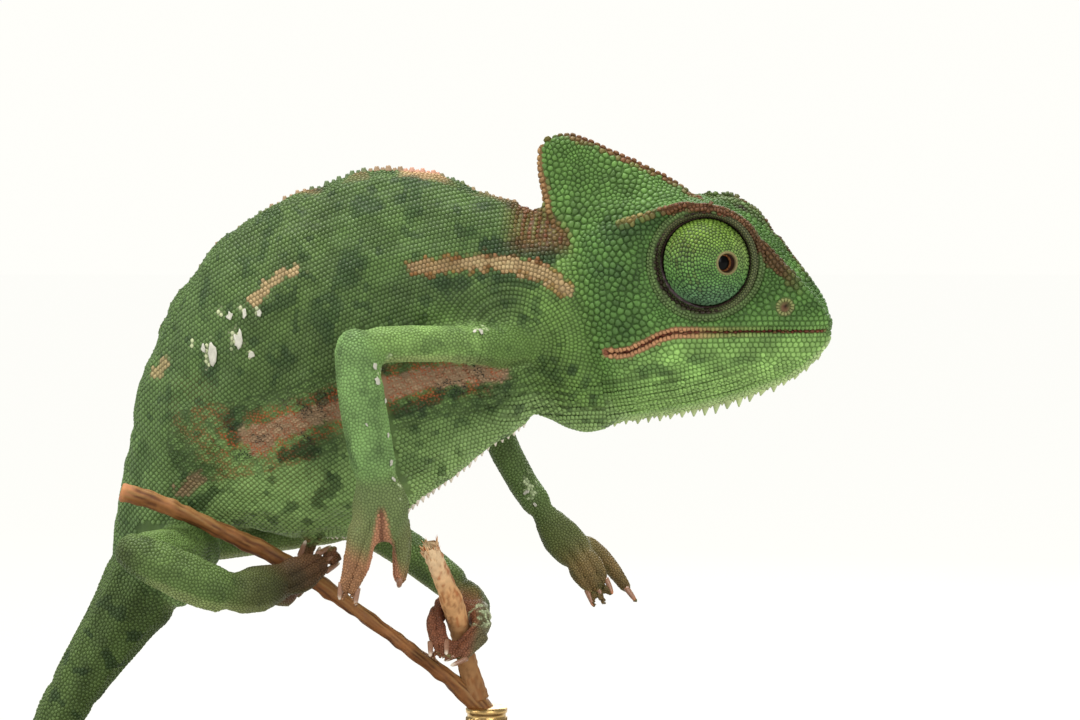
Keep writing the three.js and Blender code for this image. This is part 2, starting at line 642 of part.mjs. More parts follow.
const twigAtRod = along(TWIG.map((row) => [row[0], row[2]]), ROD_PLACE[0]);
const cupTop = twigAtRod + 0.9;
const cupFoot = cupTop - CUP_HEIGHT;
const flangeTop = BASE_HEIGHT + ROD_FLANGE_HEIGHT;
const flange = upright(ROD_FLANGE_RADIUS, BASE_HEIGHT + GAP, flangeTop);
const rod = upright(ROD_RADIUS, flangeTop + GAP, cupFoot - GAP);
const cup = upright(CUP_RADIUS, cupFoot, cupTop);
add("stand_base", baseSolid(), BASE_WOOD, 0.5);
add("stand_flange", flange, ROD_BRASS, 0.3, 1);
add("stand_rod", cut(rod, twigRoom), ROD_BRASS, 0.3, 1);
add("stand_cup", cut(cup, twigRoom, stubRoom), ROD_BRASS, 0.3, 1);

// Head.
const eyes = { right: eyeSolid(-1, GAP), left: eyeSolid(1, GAP) };
const wholeHead = headSolid();
const casque = cut(wholeHead.intersect(headPlate(moved(CASQUE, 0, GAP))), eyes.right, eyes.left);
const jaw = cut(wholeHead.intersect(headPlate(moved(MOUTH, GAP, -GAP))), eyes.right, eyes.left);
const face = cut(wholeHead, headPlate(CASQUE), headPlate(MOUTH), eyes.right, eyes.left);
const withSpikes = (solid, spikes) => spikes.reduce((whole, cone) => whole.add(cone), solid);
add("casque", casque, SKIN_GREEN);
add("head", face, SKIN_GREEN);
add("jaw", withSpikes(jaw, throatSpikes(-11.5, 12.5)), SKIN_GREEN);
add("eye_right", eyeSolid(-1), EYE_GREEN, 0.5);
add("eye_left", eyeSolid(1), EYE_GREEN, 0.5);

// Neck and trunk.
function spiny(solid, from, to) {
  const back = trunkSpikes(from, to, "back", BACK_HEIGHTS);
  const belly = trunkSpikes(from, to, "belly", BELLY_HEIGHTS);
  return withSpikes(solid, [...back, ...belly]);
}

const neck = cut(trunkPart(0, NECK_END - GAP, 6), wholeHead);
const chest = cut(trunkPart(NECK_END, CHEST_END - GAP, 7), wholeHead);
const belly = cut(trunkPart(CHEST_END, BELLY_END - GAP, 8), twigRoom);
add("neck", neck, SKIN_GREEN);
add("chest", spiny(chest, NECK_END, CHEST_END), SKIN_GREEN);
add("belly", spiny(belly, CHEST_END, BELLY_END), SKIN_GREEN);
add("pelvis", cut(trunkPart(BELLY_END, TRUNK_LENGTH, 5), twigRoom), SKIN_GREEN);
const trunkRoom = trunkPart(0, TRUNK_LENGTH + GAP, 26, GAP);

// Tail.
const tail = tailRows();
const tailLength = measured(tail).at(-1)[0];
for (let i = 0; i < TAIL_LENGTHS; i++) {
  const from = (tailLength * i) / TAIL_LENGTHS;
  const last = i === TAIL_LENGTHS - 1;
  const to = (tailLength * (i + 1)) / TAIL_LENGTHS - (last ? 0 : GAP);
  const piece = tube(tail, { flat: [0, 1, 0], from, to, sides: 8, steps: 6, round: [false, last] });
  add(`tail_${i + 1}`, i ? piece : cut(piece, trunkRoom), SKIN_GREEN);
}

// Legs. Each piece gives way to the solids placed before it.
const taken = [trunkRoom, twigRoom, stubRoom];

function addLimbPiece(name, make, options, colour) {
  add(name, cut(make(options), ...taken), colour);
  taken.push(make({ ...options, grow: GAP }));
}

for (const [name, leg] of Object.entries(LEGS)) {
  const words = name.endsWith("front") ? FRONT_NAMES : HIND_NAMES;
  const side = name.split("_")[0];
  const hand = `${words.palm}_${side}`;
  const limb = { flat: leg.flat, sides: 8, steps: 4 };
  addLimbPiece(hand, (o) => tube(leg.palm, o), { ...limb, steps: 2 }, TOE_BROWN);
  addLimbPiece(`${words.lower}_${side}`, (o) => tube(leg.lower, o), limb, SKIN_GREEN);
  addLimbPiece(`${words.upper}_${side}`, (o) => tube(leg.upper, o), limb, SKIN_GREEN);
  for (const bundle of ["outer", "inner"]) {
    const toes = { flat: leg.flat, sides: 6, steps: 3 };
    const make = (options) => toeBundle(leg[bundle], leg.claws[bundle], options);
    addLimbPiece(`${hand}_${bundle}_toes`, make, toes, TOE_BROWN);
  }
}

export default group;
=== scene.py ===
# %% [markdown]
# # A young veiled chameleon on a forked twig
# The CAD model gives the solids: body, limbs, tail, eyes, twig and stand.
# Here they get what the eye looks for: one skin with its folds, tens of thousands of
# small scales, claws, crests, wet eyes in their turrets, bark and polished wood.
# Lengths in this file are in millimetres, and become metres when a mesh is made.

# %% Load the solids
import json
import math

import bmesh
import bpy
import numpy as np
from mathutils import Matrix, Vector
from mathutils.bvhtree import BVHTree
from mathutils.kdtree import KDTree

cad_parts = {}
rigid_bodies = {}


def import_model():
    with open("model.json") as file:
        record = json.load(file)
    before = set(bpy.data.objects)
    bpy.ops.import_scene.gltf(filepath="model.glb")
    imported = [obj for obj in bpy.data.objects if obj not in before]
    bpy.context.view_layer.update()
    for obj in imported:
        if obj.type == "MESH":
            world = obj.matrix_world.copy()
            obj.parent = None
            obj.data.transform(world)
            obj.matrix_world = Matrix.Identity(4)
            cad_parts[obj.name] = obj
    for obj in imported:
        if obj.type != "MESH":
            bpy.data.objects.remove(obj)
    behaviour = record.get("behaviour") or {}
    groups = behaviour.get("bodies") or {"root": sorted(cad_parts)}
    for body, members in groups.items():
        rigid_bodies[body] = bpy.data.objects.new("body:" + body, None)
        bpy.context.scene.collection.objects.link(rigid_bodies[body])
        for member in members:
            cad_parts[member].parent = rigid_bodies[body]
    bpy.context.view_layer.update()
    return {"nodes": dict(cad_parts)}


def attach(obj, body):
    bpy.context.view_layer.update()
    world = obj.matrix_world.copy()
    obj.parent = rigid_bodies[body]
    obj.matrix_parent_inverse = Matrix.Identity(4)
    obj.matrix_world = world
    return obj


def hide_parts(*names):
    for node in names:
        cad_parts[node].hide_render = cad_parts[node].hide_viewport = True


for thing in list(bpy.data.objects):
    bpy.data.objects.remove(thing)
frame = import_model()
solids = frame["nodes"]

# %% [markdown]
# ## Camera, floor and light
# The animal is small, so the camera stands close, just above the height of its belly,
# with a long lens that keeps the perspective calm. The floor and the world are nearly
# white, and big soft lamps give slow shadows that show every scale without glare.

# %% Camera
MM = 0.001


def added(name, data):
    """A new object that holds the data, in the scene."""
    thing = bpy.data.objects.new(name, data)
    bpy.context.scene.collection.objects.link(thing)
    return thing


def aim(thing, place, target):
    thing.location = Vector(place) * MM
    way = Vector(target) - Vector(place)
    thing.rotation_mode = "QUATERNION"
    thing.rotation_quaternion = way.to_track_quat("-Z", "Y")


camera_data = bpy.data.cameras.new("camera")
camera_data.lens, camera_data.sensor_width = 100, 36
camera_data.clip_start, camera_data.clip_end = 0.01, 20
camera = added("camera", camera_data)
aim(camera, (16, -374.49, 104.63), (16, 0, 85))
bpy.context.scene.camera = camera
bpy.context.scene.view_settings.view_transform = "Standard"
print("camera at", [round(v, 4) for v in camera.location])

# %% World
def node(tree, kind, links=(), **values):
    """A node with its settings and socket values given by name, linked from the given outputs."""
    made = tree.nodes.new(kind)
    for key, value in values.items():
        if hasattr(made, key):
            setattr(made, key, value)
        else:
            made.inputs[key.replace("_", " ")].default_value = value
    for source, target in links:
        tree.links.new(source, made.inputs[target])
    return made


world = bpy.data.worlds.new("studio")
bpy.context.scene.world = world
world.use_nodes = True
tree = world.node_tree
tree.nodes.clear()
# one background is seen, a dimmer one lights the animal
seen = node(tree, "ShaderNodeBackground", Color=(1.0, 0.995, 0.955, 1), Strength=1.0)
lit = node(tree, "ShaderNodeBackground", Color=(1.0, 0.99, 0.97, 1), Strength=0.34)
ray = node(tree, "ShaderNodeLightPath").outputs["Is Camera Ray"]
choice = node(tree, "ShaderNodeMixShader", [(ray, 0), (lit.outputs[0], 1), (seen.outputs[0], 2)])
node(tree, "ShaderNodeOutputWorld", [(choice.outputs[0], "Surface")])
print("world of", len(tree.nodes), "nodes")

# %% Lamps
# Place, size and power of each soft lamp. All of them face the middle of the animal.
LAMPS = {
    "top_lamp": ((-60, 40, 480), 300, 2.3),
    "front_lamp": ((210, -420, 260), 260, 1.2),
    "left_lamp": ((-380, -160, 240), 240, 0.7),
    "rim_lamp": ((120, 420, 240), 300, 1.1),
}
for name, (place, size, power) in LAMPS.items():
    data = bpy.data.lights.new(name, "AREA")
    data.size, data.energy, data.color = size * MM, power, (1.0, 0.985, 0.96)
    aim(added(name, data), place, (5, 0, 80))
print(len(LAMPS), "soft lamps")

# %% [markdown]
# ## Arrays in, meshes out
# A coat of scales has about a million faces, far too many to make one by one. So shapes
# are worked out as arrays of points and triangles, and handed to Blender whole.
# Colours are painted the same way: each point carries its own, in an attribute that the
# materials read, so that the markings stay on the animal from every side.


# %% Array helpers
def srgb(*values):
    c = np.asarray(values, float) / 255
    return np.where(c <= 0.04045, c / 12.92, ((c + 0.055) / 1.055) ** 2.4)


def read(things, key, width, kind=float):
    """One value of every point, edge, triangle or corner, as the rows of an array."""
    out = np.empty(len(things) * width, kind)
    things.foreach_get(key, out)
    return out.reshape(-1, width)


def unit(vectors):
    return vectors / np.maximum(np.linalg.norm(vectors, axis=-1, keepdims=True), 1e-12)


def mesh_from(name, points, triangles):
    mesh = bpy.data.meshes.new(name)
    mesh.vertices.add(len(points))
    mesh.vertices.foreach_set("co", (np.asarray(points) * MM).ravel())
    mesh.loops.add(triangles.size)
    mesh.loops.foreach_set("vertex_index", np.asarray(triangles, np.int32).ravel())
    mesh.polygons.add(len(triangles))
    mesh.polygons.foreach_set("loop_start", np.arange(len(triangles), dtype=np.int32) * 3)
    mesh.polygons.foreach_set("use_smooth", np.ones(len(triangles), bool))
    mesh.update(calc_edges=True)
    mesh.validate()
    return mesh


def paint_on(mesh, colours, crown=None):
    """Colours for the points, and how far each is up its scale: 0 at the root, 1 on top."""
    colour = mesh.attributes.new("paint", "FLOAT_COLOR", "POINT")
    rgba = np.ones((len(mesh.vertices), 4))
    rgba[:, :3] = np.clip(colours, 0, 1)
    colour.data.foreach_set("color", rgba.ravel())
    height = mesh.attributes.new("crown", "FLOAT", "POINT")
    height.data.foreach_set("value", np.ones(len(mesh.vertices)) if crown is None else crown)


def show(name, mesh, material, slot):
    piece = added(name, mesh)
    mesh.materials.clear()
    mesh.materials.append(material)
    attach(piece, "root")
    print(f"{name}: {len(mesh.vertices)} points, {len(mesh.polygons)} faces")
    return piece


# %% Soft random patterns
WAVES = 24
TURN = 6.28  # radians once round, as near as a pattern needs


def mottle(points, size, seed):
    """A sum of plane waves in random directions: smooth, even, and the same on every run."""
    dice = np.random.default_rng(seed)
    ways = unit(dice.normal(size=(WAVES, 3))) * (2 * math.pi / size) * dice.uniform(0.7, 1.4, (WAVES, 1))
    return np.cos(points @ ways.T + dice.uniform(0, TURN, WAVES)).sum(1) / math.sqrt(WAVES / 2)


def ease(value, low, high):
    """A soft step from 0 at low to 1 at high."""
    t = np.clip((value - low) / (high - low), 0, 1)
    return t * t * (3 - 2 * t)


def bump(distance, width):
    """1 at distance 0, fading away over the width."""
    return np.exp(-((distance / width) ** 2))


def to_line(points, corners):
    """Distance from each point to a line of corners."""
    corners = np.asarray(corners, float)
    best = np.full(len(points), np.inf)
    for a, b in zip(corners[:-1], corners[1:]):
        t = np.clip((points - a) @ (b - a) / np.linalg.norm(b - a) ** 2, 0, 1)
        best = np.minimum(best, np.linalg.norm(points - a - t[:, None] * (b - a), axis=1))
    return best


def to_place(points, place, squash=1):
    """Distance from each point to a place; a squash below 1 makes an axis count for less."""
    return np.linalg.norm((points - place) * squash, axis=1)


# %% [markdown]
# ## The head's own frame
# The head is turned a little towards the viewer and leans on its side. Its features are
# easier to place in a frame of its own: x towards the snout, y to its left, z up, and
# zero between the eyes. Both sides of the face then share the same numbers.

# %% Head frame
HEAD_PLACE = np.array([38.16, -3.5, 98.1])
yaw, roll = math.radians(-15), math.radians(5)
about_z = np.array([[math.cos(yaw), -math.sin(yaw), 0], [math.sin(yaw), math.cos(yaw), 0], [0, 0, 1]])
about_x = np.array([[1, 0, 0], [0, math.cos(roll), -math.sin(roll)], [0, math.sin(roll), math.cos(roll)]])
HEAD_TURN = about_z @ about_x


def to_head(points):
    return (np.asarray(points, float) - HEAD_PLACE) @ HEAD_TURN


def from_head(points):
    return np.asarray(points, float) @ HEAD_TURN.T + HEAD_PLACE


def both_sides(q):
    """The head's points with the right side laid on the left."""
    return np.abs(q) * (0, 1, 0) + q * (1, 0, 1)


def round_of(q, place):
    """Distance from a place on the head, seen from the side."""
    return np.hypot(q[:, 0] - place[0], q[:, 2] - place[2])


def beyond(q, corners):
    """Distance from a line of the head, seen from the side."""
    return to_line(q * (1, 0, 1), np.multiply(corners, (1, 0, 1)))


# Each line runs over x, y, z in the head's frame; y is taken on both sides.
BROW = [
    (-11, 6, 4.8), (-7, 7, 6.2), (-3.3, 7, 7.0), (-0.8, 7, 7.2), (1.6, 6.7, 6.5), (3.9, 6, 4.9),
    (5.6, 5.5, 3.5), (7.8, 4.4, 0.4), (10.6, 3, -3), (12.8, 1.5, -5.8),
]
CROWN = [(-22, 0, 14.8), (-20.3, 0, 15.4), (-18.8, 0, 15.4), (-14, 0, 13.7), (-7.2, 0, 10.6), (-2.2, 0, 7.5)]
CASQUE_REAR = [
    (-22.6, 0.4, 14.2), (-22.7, 1, 11.6), (-21.8, 3, 8.4), (-21.0, 5, 5.5),
    (-19.9, 7, 3.0), (-19.0, 8, 0.0), (-18.2, 8, -3.6),
]
MOUTH = [
    (14.1, 0.9, -9.1), (12.2, 3.0, -9.0), (8.2, 4.8, -8.8), (3.8, 6.2, -8.7), (-1, 7.3, -8.7),
    (-4.2, 7.8, -8.7), (-6.1, 8.0, -9.25), (-8.1, 8.1, -10.3), (-9.8, 8.1, -11.1),
    (-11.6, 7.8, -11.4), (-12.7, 7.6, -11.2),
]
# Bottom edge of the throat: x, z.
THROAT = [
    (-16.6, -15), (-15, -21.7), (-11.2, -21.1), (-7.8, -20.5), (-4.3, -19.9), (-0.9, -19.0), (2.5, -18.1),
    (5.9, -16.9), (8.6, -15.8), (10.6, -14.5), (12.5, -12.7), (13.8, -11.0), (14.3, -9.8),
]
EYE_CENTRE = (-0.5, 5.5, -0.2)
NOSTRIL = (8.9, 3.4, -5.8)
print("snout tip at", from_head([[14.3, 0, -9]])[0].round(1))

# %% [markdown]
# ## One skin over all the flesh
# On the real animal one skin runs over head, trunk, limbs and tail. The solids were cut
# apart, so copies of them are swollen until their gaps close, joined, and wrapped in one
# even net by a voxel remesh. The net is then relaxed, more on the round trunk and less
# on the head with its edges, and drawn in below the solids to leave room for the scales.

# %% Wrap the flesh
GAP_CLOSER = 0.22
NET_SIZE = 0.45
COAT_DEPTH = 0.3

flesh = sorted(n for n in solids if not n.startswith(("stand_", "twig_", "eye_")))
joined = bmesh.new()
soup_points, soup_faces, soup_owner = [], [], []
for number, name in enumerate(flesh):
    part = bmesh.new()
    part.from_mesh(solids[name].data)
    bmesh.ops.remove_doubles(part, verts=part.verts, dist=1e-6)
    part.normal_update()
    start = len(soup_points)
    soup_points += [tuple(v.co / MM) for v in part.verts]
    soup_faces += [tuple(start + v.index for v in f.verts) for f in part.faces]
    soup_owner += [number] * len(part.faces)
    for v in part.verts:
        v.co += v.normal * GAP_CLOSER * MM
    swollen = bpy.data.meshes.new("swollen")
    part.to_mesh(swollen)
    joined.from_mesh(swollen)
    part.free()
wrap_mesh = bpy.data.meshes.new("wrap")
joined.to_mesh(wrap_mesh)
joined.free()
wrap = added("wrap", wrap_mesh)
net = wrap.modifiers.new("net", "REMESH")
net.mode, net.voxel_size = "VOXEL", NET_SIZE * MM
skin_mesh = bpy.data.meshes.new_from_object(wrap.evaluated_get(bpy.context.evaluated_depsgraph_get()))
bpy.data.objects.remove(wrap)
skin_mesh.name = "skin"
print("net of", len(skin_mesh.vertices), "points over", len(flesh), "solids")

# %% What each part of the body looks like
# Scale size, scale height, how far it is relaxed, colour.
LOOK = {
    "casque": (0.92, 0.26, 0.06, (84, 118, 62)),
    "head": (0.95, 0.26, 0.06, (74, 108, 56)),
    "jaw": (0.66, 0.17, 0.08, (126, 162, 98)),
    "neck": (0.46, 0.1, 0.5, (98, 128, 70)),
    "chest": (0.5, 0.1, 0.75, (80, 104, 61)),
    "belly": (0.52, 0.11, 0.75, (79, 101, 59)),
    "pelvis": (0.52, 0.11, 0.5, (96, 120, 76)),
    "tail": (0.52, 0.12, 0.3, (80, 100, 58)),
    "upper_arm": (0.45, 0.08, 0.4, (120, 150, 92)),
    "forearm": (0.45, 0.08, 0.4, (114, 146, 96)),
    "thigh": (0.48, 0.09, 0.45, (100, 126, 74)),
    "shank": (0.47, 0.09, 0.4, (92, 114, 68)),
    "hand": (0.4, 0.065, 0.5, (104, 116, 74)),
    "foot": (0.4, 0.065, 0.5, (92, 100, 60)),
    "toes": (0.37, 0.055, 0.32, (152, 98, 76)),
}
HEAD_PARTS = ("casque", "head", "jaw")
TRUNK_PARTS = ("neck", "chest", "belly", "pelvis")


def kind_of(name):
    return "toes" if name.endswith("toes") else next(k for k in LOOK if name.startswith(k))


kinds = [kind_of(n) for n in flesh]
soup = BVHTree.FromPolygons(soup_points, soup_faces)
skin = read(skin_mesh.vertices, "co", 3) / MM
skin_mesh.calc_loop_triangles()
skin_faces = read(skin_mesh.loop_triangles, "vertices", 3, np.int32)
edges = read(skin_mesh.edges, "vertices", 2, np.int32)
joints_at = np.maximum(np.bincount(edges.ravel(), minlength=len(skin)), 1)


def spread(values, times, amount=0.5):
    """Each point takes part of its neighbours' mean, again and again."""
    values = np.array(values, float)
    flat = values.reshape(len(values), -1)
    amount = np.broadcast_to(np.reshape(amount, (-1, 1)), (len(flat), 1))
    for _ in range(times):
        for k in range(flat.shape[1]):
            total = np.bincount(edges[:, 0], flat[edges[:, 1], k], len(flat))
            total += np.bincount(edges[:, 1], flat[edges[:, 0], k], len(flat))
            flat[:, k] += amount[:, 0] * (total / joints_at - flat[:, k])
    return values


def normals_of(points, triangles):
    a, b, c = (points[triangles[:, k]] for k in range(3))
    face = np.cross(b - a, c - a)
    out = np.zeros_like(points)
    for axis in range(3):
        for k in range(3):
            out[:, axis] += np.bincount(triangles[:, k], face[:, axis], len(points))
    return unit(out)


owner = np.array([soup_owner[soup.find_nearest(Vector(p))[2]] for p in skin])
owner_kind = np.array(kinds)[owner]
look = np.array([LOOK[k][:3] for k in kinds])[owner]
hue = np.array([srgb(*LOOK[k][3]) for k in kinds])[owner]
print("points by part:", dict(zip(flesh, np.bincount(owner, minlength=len(flesh)).tolist())))

# %% Relax the net and draw it in
chin = to_head(skin)
under_chin = (np.abs(chin[:, 1]) < 2.2) & (chin[:, 2] < -9.5) & (chin[:, 0] > -16)
roundness = spread(np.where(under_chin, 0.5, look[:, 2]), 12)
skin = spread(skin, 70, roundness)
for _ in range(2):
    normals = normals_of(skin, skin_faces)
    drift = np.empty(len(skin))
    for i, p in enumerate(skin):
        drift[i] = normals[i] @ (p - np.array(soup.find_nearest(Vector(p))[0]))
    skin += normals * spread(np.clip(-COAT_DEPTH - drift, -0.9, 0.9), 8)[:, None]
normals = spread(normals_of(skin, skin_faces), 3)
print("skin lies", round(float(-drift.mean()), 2), "mm inside the solids before the last draw")

# %% [markdown]
# ## Folds, lips and ridges
# The small forms are worked out as a height at each point of the skin: brow ridges,
# the ringed orbit, the mouth with its lips, nostrils, loose folds of the neck, rings
# round the shoulders and the seams between fused toes. A height per point moves the
# skin along its own direction, and the scales planted on it later follow for free.

# %% Fold heights
# Centre of each shoulder, by side.
SHOULDER = {-1: (12.5, -6.0, 87.2), 1: (12.5, 8.5, 84.5)}
VENT = (-32.6, 6.5, 52.0)
# Place, direction across and reach of the creases inside elbows, wrists and knees.
CREASES = [
    ((-3.6, -14.4, 85.5), (0.7, 0, 0.7), 3.2),
    ((-3.6, -14.3, 70.8), (0, 0, 1), 2.0),
    ((16.8, 20.0, 63.4), (0.5, 0, -0.85), 2.0),
    ((-21.5, -9.8, 57.0), (0.8, 0.6, 0), 2.0),
    ((-30.8, -13.2, 61.5), (0.8, 0, -0.5), 3.0),
    ((6.0, 8.0, 54.8), (0.6, -0.4, -0.7), 1.8),
]
CREASE_PITCH = 1.1
# Directions that the width of a toe bundle takes.
LEVEL, RISING, UPRIGHT = (1, 0, 0), (0.86, 0, 0.5), (-0.4, 0, 0.92)
# End of each bundle: node, point before the end, end, half sizes there, direction of its
# width, claws, bend of the claws.
BUNDLES = [
    ("hand_right_outer_toes", (-6.1, -15.8, 61.0), (-6.9, -15.6, 58.7), (1.65, 1.5), LEVEL, 2, (0.8, 0, 0)),
    ("hand_right_inner_toes", (-0.8, -11.9, 61.8), (-1.0, -12.1, 59.2), (1.2, 1.7), LEVEL, 3, (0, 1.8, 1.3)),
    ("hand_left_outer_toes", (26.2, 22.5, 55.3), (27.4, 22.3, 53.6), (1.2, 1.5), RISING, 2, (0.2, 0, -0.2)),
    ("hand_left_inner_toes", (22.4, 17.8, 56.2), (23.4, 17.3, 54.6), (2.4, 1.3), RISING, 3,
     (-0.4, -0.2, -0.4)),
    ("foot_right_outer_toes", (-12.9, -3.8, 58.9), (-11.2, -2.4, 59.8), (1.9, 1.3), UPRIGHT, 3, (0, 1.5, 0)),
    ("foot_right_inner_toes", (-14.4, 4, 57.2), (-13.6, 4.8, 59.4), (1.7, 1.2), UPRIGHT, 2, (0.2, -1.6, 0.3)),
    ("foot_left_outer_toes", (7.6, -0.6, 49.8), (6.0, -1.8, 48.4), (1.8, 1.3), LEVEL, 3, (-0.9, 0, 0.7)),
    ("foot_left_inner_toes", (3.0, -1.0, 51.6), (3.3, -2.4, 50.0), (1.6, 1.2), LEVEL, 2, (-0.4, 0, -0.2)),
]


def belongs(*names):
    """1 where a point of the skin belongs to one of these parts, else 0."""
    return np.isin(owner_kind, names).astype(float)


def bundle_end(before, end, sizes, flat):
    """Middle, heading and the wider way across at the end of a bundle of toes."""
    heading = unit(np.subtract(end, before).astype(float))
    across = unit(np.array(flat, float) - heading * np.dot(flat, heading))
    side = across if sizes[0] > sizes[1] else np.cross(heading, across)
    return np.array(end, float), heading, side


def beside(corners, rise):
    return [(x, y, z + rise) for x, y, z in corners]


def throat_edge(x):
    return np.interp(x, *np.transpose(THROAT[1:]))


def furrows(p):
    """Furrows run lengthwise under the throat and on to the chest: 0 on a ridge, 1 in a furrow."""
    q = to_head(p)
    rise = q[:, 2] - throat_edge(q[:, 0])
    wave = np.abs(((rise + 0.16 * mottle(p * (0.4, 0.4, 1), 3.5, 3) - 1.9) / 1.05 + 0.5) % 1 - 0.5)
    where = ease(rise, 1.1, 1.6) * ease(-rise, -7.2, -5.2) * ease(q[:, 0], -30, -24) * ease(-q[:, 0], -9, -2)
    where = where * ease(-rise - 0.25 * q[:, 0], -6.2, -4.8)
    return where * ease(-wave, -0.17, -0.07)


def head_folds(p):
    q = to_head(p)
    out = np.abs(q[:, 1])
    height = 0.36 * bump(to_line(both_sides(q), BROW), 0.95)
    height += 0.22 * bump(to_line(both_sides(q), CROWN), 0.8)
    height += 0.3 * bump(beyond(q, CASQUE_REAR), 0.55)
    ring = round_of(q, EYE_CENTRE)
    orbit = 0.34 * bump(ring - 6.55, 0.34) - 0.3 * bump(ring - 7.05, 0.22) + 0.12 * bump(ring - 7.5, 0.3)
    height += ease(out, 3.6, 4.6) * orbit
    mouth = beyond(q, MOUTH)
    height += ease(out, 2.0, 3.6) * (0.2 * bump(mouth - 0.55, 0.35) - 0.42 * bump(mouth, 0.2))
    hole = round_of(q, NOSTRIL)
    height += ease(out, 1.2, 2.0) * (0.18 * bump(hole - 0.8, 0.28) - 0.8 * bump(hole, 0.46))
    return (height - 0.3 * furrows(p)) * ease(q[:, 0], -25, -23)


# %% Folds of the body
def body_folds(p):
    x, y, z = p.T
    height = 0.22 * mottle(p * (1, 1, 0.6), 9, 5) + 0.07 * mottle(p, 3, 6)
    height = height * spread(belongs(*TRUNK_PARTS), 10)
    # behind the casque the loose skin hangs in upright folds
    behind = bump(x - 15.2, 2.6) * ease(z, 93, 98)
    height += behind * 0.16 * np.sin(TURN * (x * 0.85 + 0.25 * mottle(p, 6, 8)))
    # rings round the root of each arm
    for sign, place in SHOULDER.items():
        away = to_place(p, place)
        ring = ease(away, 3.5, 5) * ease(-away, -11, -6)
        height += (np.sign(y + 0.01) == sign) * ring * 0.13 * np.sin(TURN * away * 0.75 + mottle(p, 7, 9))
    height -= 0.3 * furrows(p)
    return height + 0.7 * bump(to_place(p, VENT), 1.7)


def limb_folds(p):
    height = np.zeros(len(p))
    for place, way, reach in CREASES:
        wave = np.sin(TURN * ((p - place) @ np.array(way)) / CREASE_PITCH)
        height -= bump(to_place(p, place), reach * 1.3) * 0.12 * (0.5 + 0.5 * wave)
    for name, before, end, sizes, flat, claws, _ in BUNDLES:
        middle, _, side = bundle_end(before, end, sizes, flat)
        mine = spread((owner == flesh.index(name)).astype(float), 2)
        share = ((p - middle) @ side) / max(sizes)
        for groove in (0,) if claws == 2 else (-0.36, 0.36):
            height -= mine * 0.34 * bump(share - groove, 0.13)
    return height


smooth_skin = skin.copy()
in_head = spread(belongs(*HEAD_PARTS), 2)
folds = head_folds(skin) * in_head + body_folds(skin) * (1 - in_head) + limb_folds(skin)
skin = skin + normals * folds[:, None]
skin_normals = spread(normals_of(skin, skin_faces), 1)
print("folds from", folds.min().round(2), "to", folds.max().round(2), "mm")

# %% [markdown]
# ## Markings
# A veiled chameleon is green with tan stripes along its flank, dark spots and orange
# edges. Base colours are given to each part and left to run into each other over the
# net. Stripes, dashes and patches are short lines with a width and a colour, the same
# on both flanks. Skin and scales ask the same function, so they always agree.

# %% Base colours and sizes run into each other
base_hue = spread(hue, 45)
scale_size = spread(look[:, 0], 14)
scale_height = spread(look[:, 1], 14)
print("scales from", scale_size.min().round(2), "to", scale_size.max().round(2), "mm across")


def mix(a, b, share):
    """Colour a with a share of colour b at each point; either may be one colour for all."""
    share = np.asarray(share)
    return a * (1 - share[:, None]) + b * share[:, None]


# %% The flank's stripes, dashes and patches
TAN, ROSE, RUST, DARK = srgb(172, 146, 118), srgb(152, 124, 108), srgb(164, 76, 34), srgb(38, 60, 34)
BROWN_RED, PEACH = srgb(118, 70, 50), srgb(188, 126, 108)
# Corners in x, z; half width; colour; strength.
FLANK_MARKS = [
    ([(9.8, 98.9), (12.8, 99.0), (17.0, 98.0)], 1.3, DARK, 0.85),
    ([(3.0, 94.7), (7.0, 94.8)], 0.8, DARK, 0.6),
    ([(11.0, 95.6), (15.6, 94.6)], 0.75, DARK, 0.6),
    ([(0.7, 96.6), (5, 96.9), (9.3, 97.5), (13.6, 96.9), (16.6, 95.9), (19.0, 93.9)], 1.1, RUST, 0.45),
    ([(0.7, 96.6), (5, 96.9), (9.3, 97.5)], 0.7, TAN * 0.75, 0.7),
    ([(7.0, 97.3), (9.3, 97.5), (13.6, 96.9), (16.6, 95.9), (19.4, 93.6)], 0.85, TAN * 0.92, 0.9),
    ([(8.0, 97.3), (12.4, 97.0)], 0.35, srgb(190, 168, 138), 0.6),
    ([(-19.1, 92.7), (-18.0, 94.0), (-16.0, 95.4), (-13.8, 96.3)], 0.65, TAN, 0.9),
    ([(-17.6, 91.4), (-14.6, 93.2)], 0.8, DARK, 0.6),
    ([(-32.4, 83.2), (-31.2, 84.6)], 0.7, TAN, 0.7),
    ([(-20.4, 75.6), (-18.2, 76.0), (-14.7, 77.4), (-12, 78.4), (-7, 79.8), (-2.4, 81.9)], 1.35, ROSE, 0.95),
    ([(-18.8, 74.4), (-17.4, 75.0)], 1.1, ROSE, 0.95),
    ([(-2.4, 81.9), (1.3, 83.0), (5, 83.3), (8.6, 83.5), (11.1, 83.8)], 1.45, ROSE, 0.95),
    ([(-22.4, 78.2), (-22.0, 75.2)], 0.8, DARK, 0.8),
    ([(-15.6, 73.4), (-12.6, 74.2)], 1.1, DARK, 0.85),
    ([(-13.0, 80.2), (-9.4, 81.0)], 0.8, DARK, 0.7),
    ([(-1.6, 78.8), (3.6, 80.8)], 0.9, DARK, 0.8),
    ([(5.0, 81.0), (9.0, 81.8)], 0.6, DARK, 0.6),
    ([(-29.0, 68.6), (-27.0, 70.0)], 0.9, srgb(150, 118, 104), 0.7),
    ([(-27.6, 66.4), (-25.0, 68.2)], 0.9, DARK, 0.7),
    ([(-11.8, 67.4), (-9.6, 70.2)], 0.9, DARK, 0.65),
]


